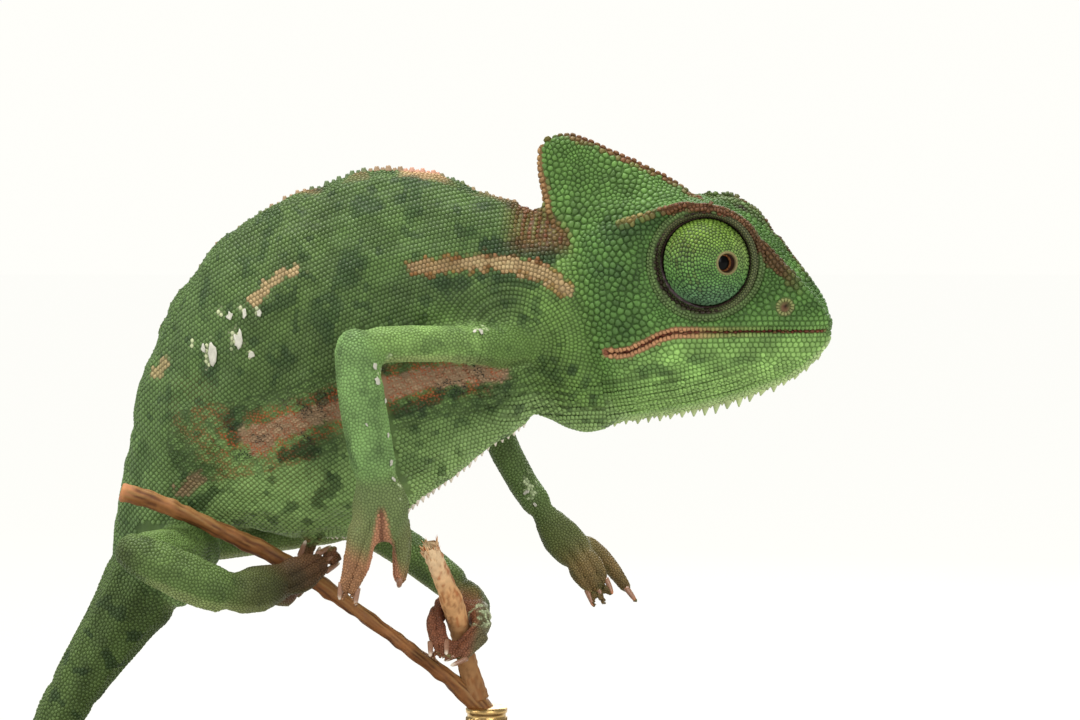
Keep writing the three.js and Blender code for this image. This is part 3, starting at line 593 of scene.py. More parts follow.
def flank_paint(p, n, colour):
    flat = p[:, [0, 2]]
    x, z = flat.T
    side = ease(np.abs(n[:, 1]), 0.25, 0.5)
    # the lower flank is painted lighter: painted light against the shade under the belly
    colour = mix(colour, srgb(144, 176, 118), 0.78 * side * ease(-z, -83, -68) * ease(x, -34, -18))
    ragged = 0.2 * mottle(p, 1.8, 21) + 0.1 * mottle(p, 0.8, 22)
    # dark clouds between the stripes, and paler belly
    cloud = ease(mottle(p * (0.8, 1, 0.55), 5.5, 23) + 0.5 * mottle(p, 2.2, 24), 0.5, 1.7)
    colour = mix(colour, DARK * 1.2, 0.62 * cloud * (1 - 0.45 * ease(-z, -80, -70)))
    spot = ease(mottle(p, 2.4, 25), 1.3, 1.9)
    colour = mix(colour, DARK, 0.6 * spot)
    for corners, width, shade, strength in FLANK_MARKS:
        away = to_line(flat, corners) + ragged
        colour = mix(colour, shade, strength * side * ease(-away, -width * 1.15, -width * 0.8))
    return colour


def seam_paint(p, n, colour, share):
    """What shows between the scales: a darker shade, orange or black round the lower stripe."""
    flat = p[:, [0, 2]]
    side = ease(np.abs(n[:, 1]), 0.25, 0.5) * (1 - limb_share) * (1 - head_share)
    low = to_line(flat, [(-21, 75.4), (-12, 78), (-2.4, 81.9), (8.6, 83.9)])
    rear = to_line(flat, [(-27, 80), (-22, 72), (-14, 70)])
    orange = side * np.clip(ease(-low, -3.6, -1.6) + 0.45 * ease(-rear, -5, -2), 0, 1)
    orange *= ease(mottle(p, 3.5, 27), -1.4, -0.2) * (1 - 0.5 * ease(-low, -1.2, -0.6))
    black = side * ease(-low, -4.5, -2.0) * ease(mottle(p, 3.2, 28), 0.7, 1.1)
    light = 0.55 + 0.1 * limb_share + 0.02 * head_share + 0.25 * (1 - share) * side * ease(-low, -4, -2)
    seam = mix(colour * light[:, None], RUST, share * orange)
    return mix(seam, srgb(14, 18, 12), share * black)


# %% The head's colours
# Place in x and z, reach in x and z, and strength of the dark clouds behind the eye and
# under the corner of the mouth.
CLOUDS = [
    (-10.5, 4.0, 4.2, 1.9, 0.6), (-12.5, -1.0, 3.0, 1.2, 0.5), (-2.0, -12.2, 2.2, 0.8, 0.55),
    (-7.4, -13.2, 2.2, 1.1, 0.6), (-10.6, -8.4, 1.6, 1.2, 0.45), (3.6, -12.4, 2.0, 0.7, 0.35),
]


def head_paint(p, colour):
    q = to_head(p)
    x, y, z = q.T
    side, out = both_sides(q), np.abs(y)
    ragged = 0.16 * mottle(p, 1.3, 31)
    colour = colour * (1 + 0.13 * mottle(p, 4.5, 32) + 0.07 * mottle(p, 1.5, 33))[:, None]
    for at_x, at_z, long, tall, share in CLOUDS:
        spot = np.hypot((x - at_x) / long, (z - at_z) / tall) + 0.25 * mottle(p, 2.5, 34)
        colour = mix(colour, DARK * 1.3, share * ease(-spot, -1.15, -0.5))
    crown = to_line(side, CROWN) + ragged
    colour = mix(colour, BROWN_RED, 0.75 * ease(-crown, -1.2, -0.7) * ease(x, -20.5, -17))
    colour = mix(colour, BROWN_RED, 0.6 * ease(-crown, -0.9, -0.5))
    rear = beyond(q, CASQUE_REAR) + 0.5 * ragged
    colour = mix(colour, srgb(164, 112, 88), 0.75 * ease(-rear, -0.65, -0.4) * (0.5 + 0.5 * ease(z, 2, 6)))
    # painted shade in the throat's furrows
    colour = colour * (1 - 0.55 * furrows(p))[:, None]
    # lips: peach at the corner of the mouth, fading towards the snout
    mouth, outer = beyond(q, MOUTH), ease(out, 0.8, 1.6)
    colour = mix(colour, PEACH, 0.9 * outer * ease(-mouth, -0.85, -0.6) * ease(-x, -2.5, 3.5))
    colour = mix(colour, srgb(150, 124, 88), 0.3 * outer * ease(-mouth, -0.75, -0.5) * ease(-x, -9, -2))
    colour = mix(colour, srgb(92, 40, 26), outer * ease(-mouth, -0.24, -0.14))
    # nostril: a pale rim, a pink wall, and painted shade in the pit, a little to the front
    hole, near = round_of(q, NOSTRIL), ease(out, 1, 2)
    colour = mix(colour, srgb(142, 136, 100), 0.7 * ease(-hole, -1.15, -0.85) * near)
    colour = mix(colour, srgb(150, 112, 96), ease(-hole, -0.62, -0.45) * near)
    pit_shade = round_of(q - (0.12, 0, 0.16), NOSTRIL)
    colour = mix(colour, srgb(52, 28, 24), ease(-pit_shade, -0.4, -0.16) * near)
    # ringed orbit, with painted shade on its inner slope down to the turret
    ring, near = round_of(q, EYE_CENTRE), ease(out, 3.4, 4.4)
    colour = mix(colour, srgb(98, 112, 78), 0.6 * near * ease(-ring, -7.3, -6.9))
    colour = mix(colour, srgb(46, 34, 28), near * ease(-ring, -6.4, -6.2))
    # brow ridge, wine red over the eye, with a pale beaded rim in front painted as a highlight
    brow = to_line(side, BROW) + 0.55 * ease(-x, 3.5, 9) + ragged
    below = ease(to_line(side, beside(BROW, 1.2)) - to_line(side, beside(BROW, -1.2)), -0.6, 0.6)
    band = np.clip(ease(-brow, -1.5, -1.0) * below + ease(-brow, -1.0, -0.7), 0, 1)
    wine = mix(srgb(150, 122, 78), srgb(104, 54, 40), ease(x, -10, -4.5))
    wine = mix(wine, srgb(86, 46, 30), ease(x, 2, 6))
    band = band * ease(x, -13.5, -8) * ease(-x, -11.5, -8.0) * (1 - 0.75 * ease(y, 0, 3) * ease(-x, -3, 0))
    colour = mix(colour, wine, 0.85 * band)
    rise = z - np.interp(x, *np.transpose(BROW)[[0, 2]])
    crown_top = ease(rise, 0.5, 1.3) * ease(x, -7, -1)
    colour = mix(colour, srgb(118, 146, 112), 0.6 * crown_top)
    # painted highlight: a pale rim along the front of the brow's edge
    rim = ease(-to_line(side, beside(BROW, 0.75)), -0.6, -0.35) * ease(-x, -12.5, -10) * ease(x, -7, -2)
    colour = mix(colour, srgb(190, 178, 158), 0.8 * rim)
    # throat paler and yellower towards the gular cones
    rise = z - throat_edge(x)
    colour = mix(colour, srgb(142, 176, 112), 0.7 * ease(-rise, -6, -2.5) * ease(-x, -14, -4))
    return mix(colour, srgb(176, 198, 150), 0.8 * ease(-rise, -1.5, -0.8))


# %% Colours of trunk and limbs
def body_paint(p, n, colour):
    x, _, z = p.T
    colour = colour * (1 + 0.12 * mottle(p, 6, 41) + 0.06 * mottle(p, 1.8, 42))[:, None]
    # belly line and back line
    under = ease(-n[:, 2], 0.35, 0.9)
    colour = mix(colour, srgb(160, 188, 138), 0.85 * under)
    colour = mix(colour, srgb(96, 124, 80), 0.4 * ease(-x, 14, 30))
    back = ease(n[:, 2], 0.8, 0.97) * ease(z, 96, 104)
    colour = mix(colour, srgb(150, 104, 84), 0.6 * back * ease(mottle(p, 5, 43), -0.4, 0.8))
    patch = back * ease(-np.abs(x - 1.3), -3.4, -2.4)
    colour = mix(colour, srgb(198, 160, 132), 0.9 * patch)
    colour = flank_paint(p, n, colour)
    # painted shade in the furrows that run on from the throat; red-brown folds behind the casque, dark at
    # their foot
    colour = colour * (1 - 0.5 * furrows(p))[:, None]
    behind = ease(x, 10.5, 14.5) * ease(-x, -25, -22) * ease(z, 97.5, 100.5)
    streak = 0.82 + 0.18 * np.sin(TURN * (x * 1.2 + 0.25 * mottle(p, 6, 8)))
    return mix(colour, srgb(104, 52, 34), 0.9 * behind * streak)


def limb_paint(p, n, colour):
    x, y, z = p.T
    colour = colour * (1 + 0.1 * mottle(p, 4, 51) + 0.05 * mottle(p, 1.4, 52))[:, None]
    colour = mix(colour, srgb(178, 188, 140), 0.5 * ease(-n[:, 2], 0.35, 0.9) * ease(x, -34, -28))
    for place in SHOULDER.values():
        colour = mix(colour, srgb(90, 118, 64), 0.8 * ease(-to_place(p, place), -6.5, -3))
    dark = ease(mottle(p * (1, 1, 0.7), 3.4, 53) + 0.4 * mottle(p, 1.5, 54), 1.15, 1.7)
    tail = ease(-x, 32, 36) * ease(-z, -58, -50)
    colour = mix(colour, DARK * 0.9, (0.35 + 0.4 * tail) * dark)
    # far hand and far foot: olive outside, red-brown inside and at the tips
    colour = mix(colour, srgb(84, 80, 50), 0.6 * bump(to_place(p, (20.0, 19.0, 62.0), (1, 0.6, 1)), 4.2))
    heel = ease(x - 0.2 * (z - 52), 7.4, 8.8) * ease(-x, -12, -11) * ease(-z, -58, -56) * ease(z, 44, 46)
    colour = mix(colour, srgb(96, 112, 88), 0.75 * heel)
    inside = bump(to_place(p, (4.6, -0.6, 52.5), (1, 0.5, 0.8)), 3.4)
    colour = mix(colour, srgb(110, 60, 50), 0.85 * inside)
    # near knee, near hind foot darkened as painted shade under the belly, far upper arm
    colour = mix(colour, srgb(58, 66, 38), 0.8 * bump(to_place(p, (-34.2, -14.6, 62.4)), 2.2))
    shaded_near_foot = bump(to_place(p, (-15.5, -4.0, 57.6), (0.5, 0.6, 0.8)), 4.2)
    colour = mix(colour, srgb(46, 48, 30), 0.9 * shaded_near_foot)
    colour = mix(colour, srgb(84, 96, 58), 0.6 * ease(y, 8, 11) * ease(x, 4, 8) * ease(-z, -84, -76))
    # the near hand is green outside; its split palm and its tips are pink
    hand = ease(-z, -72, -70) * ease(-y, 8, 10) * ease(-np.abs(x + 3.5), -8, -6)
    colour = mix(colour, srgb(106, 122, 84), 0.85 * hand)
    colour = mix(colour, srgb(170, 114, 92), 0.8 * hand * ease(-z - 0.5 * x, -61.5, -58))
    down = np.clip(68.5 - z, 0, 12)
    palm = hand * ease(0.25 + 0.2 * down - np.abs(x + 3.0), -0.3, 0.25) * ease(down, 0, 1.5)
    colour = mix(colour, srgb(188, 128, 110), 0.85 * palm)
    split = bump(x + 3.0, 0.3) * ease(down, 0, 1) * ease(-down, -6.5, -5.5)
    return mix(colour, srgb(84, 46, 36), 0.8 * hand * split)


# %% Shed skin
# Place in x and z, half height, half width.
FLAKES = [
    (-23.8, 91.1, 0.6, 0.55), (-20.9, 91.4, 0.65, 0.38), (-18.9, 91.2, 0.5, 0.35), (-21.7, 87.9, 1.3, 0.85),
    (-25.4, 86.1, 1.8, 0.62), (-27.4, 87.0, 0.75, 0.35), (-19.8, 85.9, 0.5, 0.45),
]
# Place and reach of the frosting on elbow, wrist, shoulder, far hand and far foot.
FROST = [
    ((-2.2, -14.8, 84.6), (1.2, 3, 1.6)), ((0.8, -12.5, 84.6), (3.5, 2.5, 0.6)),
    ((-0.9, -15, 74), (0.5, 2.5, 6)), ((9.0, -9.0, 89.6), (1.6, 3, 0.7)),
    ((14.6, 19.0, 67.0), (1.5, 2.5, 2.5)), ((8.6, 2.2, 52.0), (2.2, 3, 3.0)),
]


def flake_paint(p, colour):
    """Bits of shed skin: white flakes on the flank, and a frosting on the limbs."""
    ragged = 0.3 * mottle(p, 1.0, 61)
    near = p[:, 1] < 2
    for x, z, tall, wide in FLAKES:
        away = np.hypot((p[:, 0] - x) / wide, (p[:, 2] - z) / tall) + ragged
        colour = mix(colour, srgb(190, 196, 172), near * 0.9 * ease(-away, -0.85, -0.6))
    frost = sum(bump(np.linalg.norm((p - place) / reach, axis=1), 1) for place, reach in FROST)
    return mix(colour, srgb(196, 208, 184), 0.75 * ease(frost * (0.6 + 0.6 * mottle(p, 1.1, 62)), 0.4, 0.9))


# %% All markings together
WARMTH = (1.06, 1.08, 0.84)


def paint(p, n, colour, head_share, limb_share):
    """The finished colour of skin or scale at each point."""
    body = mix(body_paint(p, n, colour), limb_paint(p, n, colour), limb_share)
    return flake_paint(p, mix(body, head_paint(p, colour), head_share)) * WARMTH


head_share = ease(spread(in_head, 4), 0.25, 0.75)
limb_share = ease(spread(1 - belongs(*HEAD_PARTS, *TRUNK_PARTS), 6), 0.3, 0.7)
skin_paint = paint(smooth_skin, normals, base_hue, head_share, limb_share)
seams = seam_paint(smooth_skin, normals, skin_paint, 0.12)
outlines = seam_paint(smooth_skin, normals, skin_paint, 1.0)
print("painted", len(skin_paint), "points of skin")

# %% [markdown]
# ## Finishes that several materials share
# Skin, scales, crests and turrets are all the same stuff: a painted colour that is a
# little uneven, darker in the seams, with a fine grain that breaks the shine. That is
# one node group, placed in each material with its own grain size and depth.

# %% Groups of nodes
def node_group(name, kind, inputs, outputs):
    """A group with its named inputs and outputs; a socket's kind may be followed by its value."""
    group = bpy.data.node_groups.new(name, kind)
    for direction, sockets in (("INPUT", inputs), ("OUTPUT", outputs)):
        for label, (socket_kind, *value) in sockets.items():
            made = group.interface.new_socket(label, in_out=direction, socket_type="NodeSocket" + socket_kind)
            if value:
                made.default_value = value[0]
    return group, node(group, "NodeGroupInput").outputs, node(group, "NodeGroupOutput").inputs


# %% The horn and skin finish
horny, given, taken = node_group(
    "horny finish", "ShaderNodeTree",
    {
        "Paint": ("Color",), "Crown": ("Float", 1.0), "Grain Size": ("Float", 2500.0),
        "Unevenness": ("Float", 0.25), "Base Roughness": ("Float", 0.42),
    },
    {"Colour": ("Color",), "Roughness": ("Float",), "Height": ("Float",)},
)
at_place = (node(horny, "ShaderNodeTexCoord").outputs["Object"], "Vector")
grain = node(horny, "ShaderNodeTexNoise", [at_place, (given["Grain Size"], "Scale")], Detail=3.0)
cloud = node(horny, "ShaderNodeTexNoise", [at_place], Scale=420.0, Detail=4.0)
both = node(horny, "ShaderNodeMath", [(grain.outputs["Fac"], 0), (cloud.outputs["Fac"], 1)], operation="ADD")
swing = node(horny, "ShaderNodeMath", [(both.outputs[0], 0)], operation="SUBTRACT")
swing.inputs[1].default_value = 1.0
uneven = [(swing.outputs[0], 0), (given["Unevenness"], 1)]
share = node(horny, "ShaderNodeMath", uneven, operation="MULTIPLY").outputs[0]
rim = [(given["Crown"], "Value")]
rim = node(horny, "ShaderNodeMapRange", rim, interpolation_type="SMOOTHSTEP", To_Min=0.8)
light = node(horny, "ShaderNodeMath", [(rim.outputs[0], 0), (share, 1)], operation="ADD")
shaded = [(given["Paint"], 0), (light.outputs[0], "Scale")]
shaded = node(horny, "ShaderNodeVectorMath", shaded, operation="SCALE")
dulled = node(horny, "ShaderNodeMath", [(share, 0), (given["Base Roughness"], 1)], operation="ADD")
horny.links.new(shaded.outputs[0], taken["Colour"])
horny.links.new(dulled.outputs[0], taken["Roughness"])
horny.links.new(grain.outputs["Fac"], taken["Height"])


# %% Materials that wear it
def fresh_material(name, **values):
    """A new material, its node tree, and its Principled shader with the given values."""
    material = bpy.data.materials.new(name)
    material.use_nodes = True
    shader = material.node_tree.nodes["Principled BSDF"]
    for key, value in values.items():
        shader.inputs[key.replace("_", " ")].default_value = value
    return material, material.node_tree, shader.inputs


def painted(name, grain_size, unevenness, roughness, bump_depth, **values):
    """A material that shows the painted colours under the horny finish."""
    material, tree, shader = fresh_material(name, **values)
    colour = node(tree, "ShaderNodeAttribute", attribute_name="paint")
    crown = node(tree, "ShaderNodeAttribute", attribute_name="crown")
    finish = node(
        tree, "ShaderNodeGroup", [(colour.outputs["Color"], "Paint"), (crown.outputs["Fac"], "Crown")],
        node_tree=horny, Grain_Size=grain_size, Unevenness=unevenness, Base_Roughness=roughness,
    ).outputs
    relief = [(finish["Height"], "Height")]
    relief = node(tree, "ShaderNodeBump", relief, Strength=bump_depth, Distance=0.0001)
    tree.links.new(finish["Colour"], shader["Base Color"])
    tree.links.new(finish["Roughness"], shader["Roughness"])
    tree.links.new(relief.outputs["Normal"], shader["Normal"])
    return material


scale_finish = painted("scales", 2600, 0.3, 0.48, 0.3, Specular_IOR_Level=0.3)
skin_finish = painted("bare skin", 3200, 0.35, 0.6, 0.4, Specular_IOR_Level=0.2)
print("materials:", [m.name for m in bpy.data.materials])

# %% [markdown]
# ## The skin's own map
# The relaxed skin gets a flat unwrap: it is cut into charts by the way its faces
# point. Each scale will take a small patch of the map at the place where its root
# stands, so neighbours on the body are neighbours there.

# %% Show and unwrap the skin
skin_piece = show("skin", mesh_from("skin", skin, skin_faces), skin_finish, "scaly_skin")
paint_on(skin_piece.data, seams)
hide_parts(*flesh)
bpy.data.meshes.remove(skin_mesh)
bpy.context.view_layer.objects.active = skin_piece
skin_piece.select_set(True)
skin_piece.data.uv_layers.new(name="OFBake")
bpy.ops.object.mode_set(mode="EDIT")
bpy.ops.mesh.select_all(action="SELECT")
bpy.ops.uv.smart_project(angle_limit=math.radians(75), island_margin=0.002)
bpy.ops.object.mode_set(mode="OBJECT")
skin_piece.select_set(False)
corner_uv = read(skin_piece.data.uv_layers["OFBake"].data, "uv", 2).reshape(-1, 3, 2)
print("unwrapped", len(corner_uv), "faces; map up to", corner_uv.max().round(3))

# %% [markdown]
# ## Planting the scales
# A chameleon's scales are small pads set side by side. They are planted like seeds:
# first whole rows where the animal has rows, along brows, lips and the ring of the
# orbit, then loose seeds everywhere else, close where the scales are small. The loose
# seeds push each other apart, a little less across the body than along it, until they
# lie evenly. Each scale then fills the room between its neighbours, less a seam.

# %% The surface that seeds stand on
ground = BVHTree.FromPolygons([tuple(p) for p in skin], [tuple(f) for f in skin_faces.tolist()])


def land(points):
    """Nearest place on the skin: point, triangle, and the share of each corner."""
    hits = [ground.find_nearest(Vector(p)) for p in points]
    at = np.array([h[0] for h in hits])
    face = np.array([h[2] for h in hits])
    a, b, c = (skin[skin_faces[face, k]] for k in range(3))
    v0, v1, v2 = b - a, c - a, at - a
    d00, d01, d11 = (v0 * v0).sum(1), (v0 * v1).sum(1), (v1 * v1).sum(1)
    d20, d21 = (v2 * v0).sum(1), (v2 * v1).sum(1)
    base = np.maximum(d00 * d11 - d01 * d01, 1e-12)
    second, third = (d11 * d20 - d01 * d21) / base, (d00 * d21 - d01 * d20) / base
    return at, face, np.clip(np.stack([1 - second - third, second, third], 1), 0, 1)


def blend_at(values, face, weights):
    """A value of the skin's points, taken at places inside its triangles."""
    corners = values[skin_faces[face]]
    return (corners * weights.reshape(*weights.shape, *[1] * (corners.ndim - 2))).sum(1)


def cast(points, way):
    """Where rays from far outside first meet the skin; points that miss are left out."""
    hits = [ground.ray_cast(Vector(p - 60 * way), Vector(way)) for p in points]
    return np.array([h[0] for h in hits if h[0] is not None]).reshape(-1, 3)


# %% Rows of scales on the head
# Line on the head, and the pitch of the scales that follow it.
front_lip = MOUTH[:7]
HEAD_ROWS = [
    (BROW, 0.72), (CASQUE_REAR, 0.8), (beside(BROW[:-1], -0.8), 0.7), (beside(BROW[1:-1], 0.75), 0.62),
    (beside(MOUTH[:-1], 0.42), 0.5), (beside(MOUTH[:-1], -0.42), 0.5),
    (beside(MOUTH[:-3], 1.0), 0.66), (beside(MOUTH[:-4], -1.0), 0.64),
    (beside(front_lip, 1.62), 0.72), (beside(front_lip[:-1], -1.62), 0.7),
    (beside(front_lip[:-2], -2.3), 0.68), (beside(front_lip[1:-2], -2.95), 0.62),
]
CROWN_PITCH = 0.85
# Rows under the throat: how many, how far apart, the pitch of their scales, and how much
# shorter each row is than the one below it.
THROAT_ROWS, THROAT_ROW_GAP, THROAT_PITCH, THROAT_ROW_CUT = 13, 0.52, 0.5, 0.9


def hoop(centre, radius, y, corners):
    """Corners of a circle on the side of the head."""
    turns = np.linspace(0, 2 * math.pi, corners)
    return [(centre[0] + radius * math.cos(t), y, centre[2] + radius * math.sin(t)) for t in turns]


def stepped(corners, step):
    """Points at even steps along a line of corners."""
    corners = np.asarray(corners, float)
    lengths = np.linalg.norm(np.diff(corners, axis=0), axis=1)
    run = np.concatenate([[0], np.cumsum(lengths)])
    at = np.arange(step / 2, run[-1], step)
    return np.stack([np.interp(at, run, corners[:, k]) for k in range(3)], 1)


for radius, pitch in ((6.62, 0.4), (6.98, 0.46), (7.4, 0.55)):
    HEAD_ROWS.append((hoop(EYE_CENTRE, radius, 6.6, 60), pitch))
HEAD_ROWS.append((hoop(NOSTRIL, 0.86, 3.4, 40), 0.36))
row_seeds, row_sizes = [], []
for sign in (-1, 1):
    inward = HEAD_TURN @ (0, -sign, 0)
    for corners, pitch in HEAD_ROWS:
        row_seeds.append(cast(from_head(stepped(corners, pitch) * (1, sign, 1)), inward))
        row_sizes.append(np.full(len(row_seeds[-1]), pitch))
    for k in range(THROAT_ROWS):
        x = np.arange(-13.5, 12.0 - THROAT_ROW_CUT * k, THROAT_PITCH)
        z = throat_edge(x) + 0.55 + THROAT_ROW_GAP * k
        row_seeds.append(cast(from_head(np.stack([x, 0 * x, z], 1)), inward))
        row_sizes.append(np.full(len(row_seeds[-1]), THROAT_PITCH))
row_seeds.append(from_head(stepped(CROWN, CROWN_PITCH)))
row_sizes.append(np.full(len(row_seeds[-1]), CROWN_PITCH))
row_seeds, row_sizes = np.concatenate(row_seeds), np.concatenate(row_sizes)
row_seeds = land(row_seeds)[0]
print(len(row_seeds), "seeds in rows on the head")

# %% Rows of scales on the flank
# They sweep over the flank in arcs, from the belly's rear up to the back, and run in
# rings round the shoulders. Along the lower stripe they stand in blocks of six, three
# long and two high, with bright seams between the blocks.
ROW_CENTRE, ROW_PITCH, ROW_STEP = np.array([23.5, 0, 17.5]), 0.53, 0.5
SHOULDER_REACH = 10.8
LOWER_STRIPE = [(-26, 74.5), (-20, 75.6), (-12, 78), (-2.4, 81.5), (8.6, 83.6)]
BLOCK_START = 52  # radius of the innermost row of blocks; the rows are 1 apart
BLOCK_LONG, BLOCK_SCALE_LONG, BLOCK_SCALE_HIGH = 1.42, 0.44, 0.42
BLOCK_SCALE = 0.37


def on_arc(radius, turns):
    """Places on an arc round the centre of the rows."""
    x, z = ROW_CENTRE[0] - radius * np.cos(turns), ROW_CENTRE[2] + radius * np.sin(turns)
    return np.stack([x, 0 * turns, z], 1)


def arc_rows(count, first):
    """Rows of dots on arcs, every other row moved along by half a step."""
    rows = []
    for k in range(count):
        radius = first + ROW_PITCH * k
        turns = (np.arange(30 * radius / 96, 3 * radius, ROW_STEP) + ROW_STEP / 2 * (k % 2)) / radius
        rows.append(on_arc(radius, turns))
    return np.concatenate(rows)


def shoulder_rings(centre):
    rings = []
    for k in range(2, 21):
        radius = ROW_PITCH * k
        turns = (np.arange(0, 2 * math.pi * radius, ROW_STEP) + ROW_STEP / 2 * (k % 2)) / radius
        rings.append(centre + radius * np.stack([np.cos(turns), 0 * turns, np.sin(turns)], 1))
    return np.concatenate(rings)


def stripe_blocks():
    """Blocks of six seeds along the lower stripe, a little uneven."""
    rows, spots = [], np.arange(90, 270)
    for k in range(60):
        radius = BLOCK_START + 1.0 * (k // 2) + BLOCK_SCALE_HIGH * (k % 2)
        stagger = BLOCK_LONG / 2 * ((k // 2) % 2)
        turns = (BLOCK_LONG * (spots // 3) + BLOCK_SCALE_LONG * (spots % 3) + stagger) / radius
        rows.append(on_arc(radius, turns))
    blocks = np.concatenate(rows)
    blocks += 0.1 * np.stack([mottle(blocks, 2.4, 73), 0 * blocks[:, 0], mottle(blocks, 2.4, 74)], 1)
    return blocks[to_line(blocks[:, [0, 2]], LOWER_STRIPE) < 4.6]


ring_seeds = []
for sign in (-1, 1):
    inward = np.array([0.0, -sign, 0.0])
    shoulder = np.array(SHOULDER[sign]) * (1, 0, 1)
    dots = arc_rows(102, 42)
    dots = np.concatenate([dots[to_place(dots, shoulder) > SHOULDER_REACH], shoulder_rings(shoulder)])
    dots = dots[(np.abs(dots[:, 0]) < 44) & (dots[:, 2] > 50) & (dots[:, 2] < 112)]
    ring_seeds.append(cast(dots, inward))
    blocks = cast(stripe_blocks(), inward)
    _, face, weights = land(blocks)
    on_flank = np.abs(blend_at(normals, face, weights)[:, 1]) > 0.45
    blocks = blocks[on_flank & (blend_at(limb_share, face, weights) < 0.05)]
    row_seeds = np.concatenate([row_seeds, blocks])
    row_sizes = np.concatenate([row_sizes, np.full(len(blocks), BLOCK_SCALE)])
print(sum(map(len, ring_seeds)), "seeds in arcs and rings,", len(row_seeds), "in all other rows")


# %% Where two rows meet
def finder_of(points):
    finder = KDTree(len(points))
    for i, p in enumerate(points):
        finder.insert(p, i)
    finder.balance()
    return finder


def first_come(points, room):
    """Keeps a point where no earlier one stands within its room."""
    finder = finder_of(points)
    return np.array([all(j >= i for _, j, _ in finder.find_range(p, room[i])) for i, p in enumerate(points)])


kept = first_come(row_seeds, 0.66 * row_sizes)
row_seeds, row_sizes = row_seeds[kept], row_sizes[kept]
print(len(row_seeds), "seeds left in rows")

# %% Loose seeds
# Cheek scales are big and round, and shrink towards the orbit, lips and throat.
q = to_head(smooth_skin)
wide = 0.58 + 0.3 * ease(round_of(q, EYE_CENTRE), 7.5, 10.5) - 0.2 * ease(q[:, 0], 6, 12)
wide = wide + 0.12 * mottle(smooth_skin, 3, 71)
wide = np.where(q[:, 2] < -11.5, 0.62 - 0.1 * ease(-q[:, 2], 12, 17), wide)
wide = np.where(q[:, 2] > 7.5, 0.7 + 0.1 * mottle(smooth_skin, 3, 72), wide)
room = np.clip(scale_size * (1 - head_share) + wide * head_share, 0.34, 1.15)
flank = (1 - head_share) * (1 - limb_share) * ease(np.abs(normals[:, 1]), 0.35, 0.6)
a, b, c = (skin[skin_faces[:, k]] for k in range(3))
areas = np.linalg.norm(np.cross(b - a, c - a), axis=1) / 2
wanted = areas / (0.92 * room[skin_faces].mean(1) ** 2)
# the flank has rows of its own, laid next
wanted = np.where(flank[skin_faces].mean(1) > 0.5, 0, wanted)
dice = np.random.default_rng(7)
running = np.cumsum(wanted)
count = int(running[-1])
faces = np.searchsorted(running, (np.arange(count) + dice.random(count)).clip(0, running[-1] - 1e-6))
shares = np.sort(dice.random((len(faces), 2)), 1)
shares = np.stack([shares[:, 0], shares[:, 1] - shares[:, 0], 1 - shares[:, 1]], 1)
loose = blend_at(skin, faces, shares)
for dots in ring_seeds:
    _, face, weights = land(dots)
    loose = np.concatenate([loose, dots[blend_at(flank, face, weights) > 0.5]])
finder = finder_of(row_seeds)
hits = [finder.find(p) for p in loose]
clear = np.array([h[2] for h in hits]) > np.maximum(0.62 * row_sizes[[h[1] for h in hits]], 0.3)
print("area", round(areas.sum()), "square mm;", clear.sum(), "loose seeds")
loose = loose[clear]

# %% Let the seeds push each other apart
NEIGHBOURS = 9
fixed = len(row_seeds)
seeds = np.concatenate([row_seeds, loose])


def neighbours(points, count):
    finder = finder_of(points)
    return np.array([[h[1] for h in finder.find_n(p, count + 1)][1:] for p in points])


def row_way(points, lean=0.0):
    """Direction of the rows at each point."""
    x, _, z = (points - ROW_CENTRE).T
    return unit(np.stack([z, 0 * x + lean, -x], 1))


for turn in range(6):
    at, face, weights = land(seeds)
    seeds[fixed:] = at[fixed:]
    seed_room = blend_at(room, face, weights)
    seed_room[:fixed] = row_sizes
    facing = unit(blend_at(skin_normals, face, weights))
    near = neighbours(seeds, NEIGHBOURS)
    apart = seeds[:, None] - seeds[near]
    apart -= facing[:, None] * (apart * facing[:, None]).sum(2, keepdims=True)
    same_side = (facing[:, None] * facing[near]).sum(2) > 0.1
    spine = row_way(seeds)
    stretch = apart - 0.14 * spine[:, None] * (apart * spine[:, None]).sum(2, keepdims=True)
    gap = np.maximum(np.linalg.norm(stretch, axis=2), 1e-6)
    want = (seed_room[:, None] + seed_room[near]) / 2
    push = np.clip(1.06 - gap / want, 0, 1) * same_side * want * 0.42
    move = (apart / gap[..., None] * push[..., None]).sum(1)
    seeds[fixed:] += move[fixed:]
print(len(seeds), "scales,", round(float(np.linalg.norm(move, axis=1).mean()), 3), "mm last moved")

# %% [markdown]
# ## Growing the scales
# A scale's outline is found with a fan of rays in the plane of the skin: along each ray
# it reaches halfway to its neighbours. A low ring under the skin, a shoulder ring and a
# raised middle make a closed pad. The head's larger scales get one ring and a few rays
# more than the tiny ones of the body.

# %% Roots and outlines
at, face, weights = land(seeds)
seed_room = blend_at(room, face, weights)
seed_room[:fixed] = row_sizes
roots = blend_at(skin, face, weights)
facing = unit(blend_at(skin_normals, face, weights))
seed_head = blend_at(head_share, face, weights)
seed_limb = blend_at(limb_share, face, weights)
seed_hue = paint(
    blend_at(smooth_skin, face, weights), unit(blend_at(normals, face, weights)),
    blend_at(base_hue, face, weights), seed_head, seed_limb,
)
seed_height = blend_at(scale_height, face, weights) * (0.85 + 0.3 * dice.random(len(seeds)))
seed_height *= np.clip(seed_room / np.maximum(blend_at(scale_size, face, weights), 0.1), 0.6, 1.25)
uneven = 0.1 * dice.normal(size=(len(seeds), 1)).clip(-2, 2)
seed_hue = seed_hue * (1 + uneven * (0.6 + 0.4 * seed_head[:, None]))
seed_uv = (corner_uv[face] * weights[:, :, None]).sum(1)
seed_edge = blend_at(outlines, face, weights)
seed_kind = owner_kind[skin_faces[face, weights.argmax(1)]]
print("heights", seed_height.min().round(3), "to", seed_height.max().round(3), "mm")


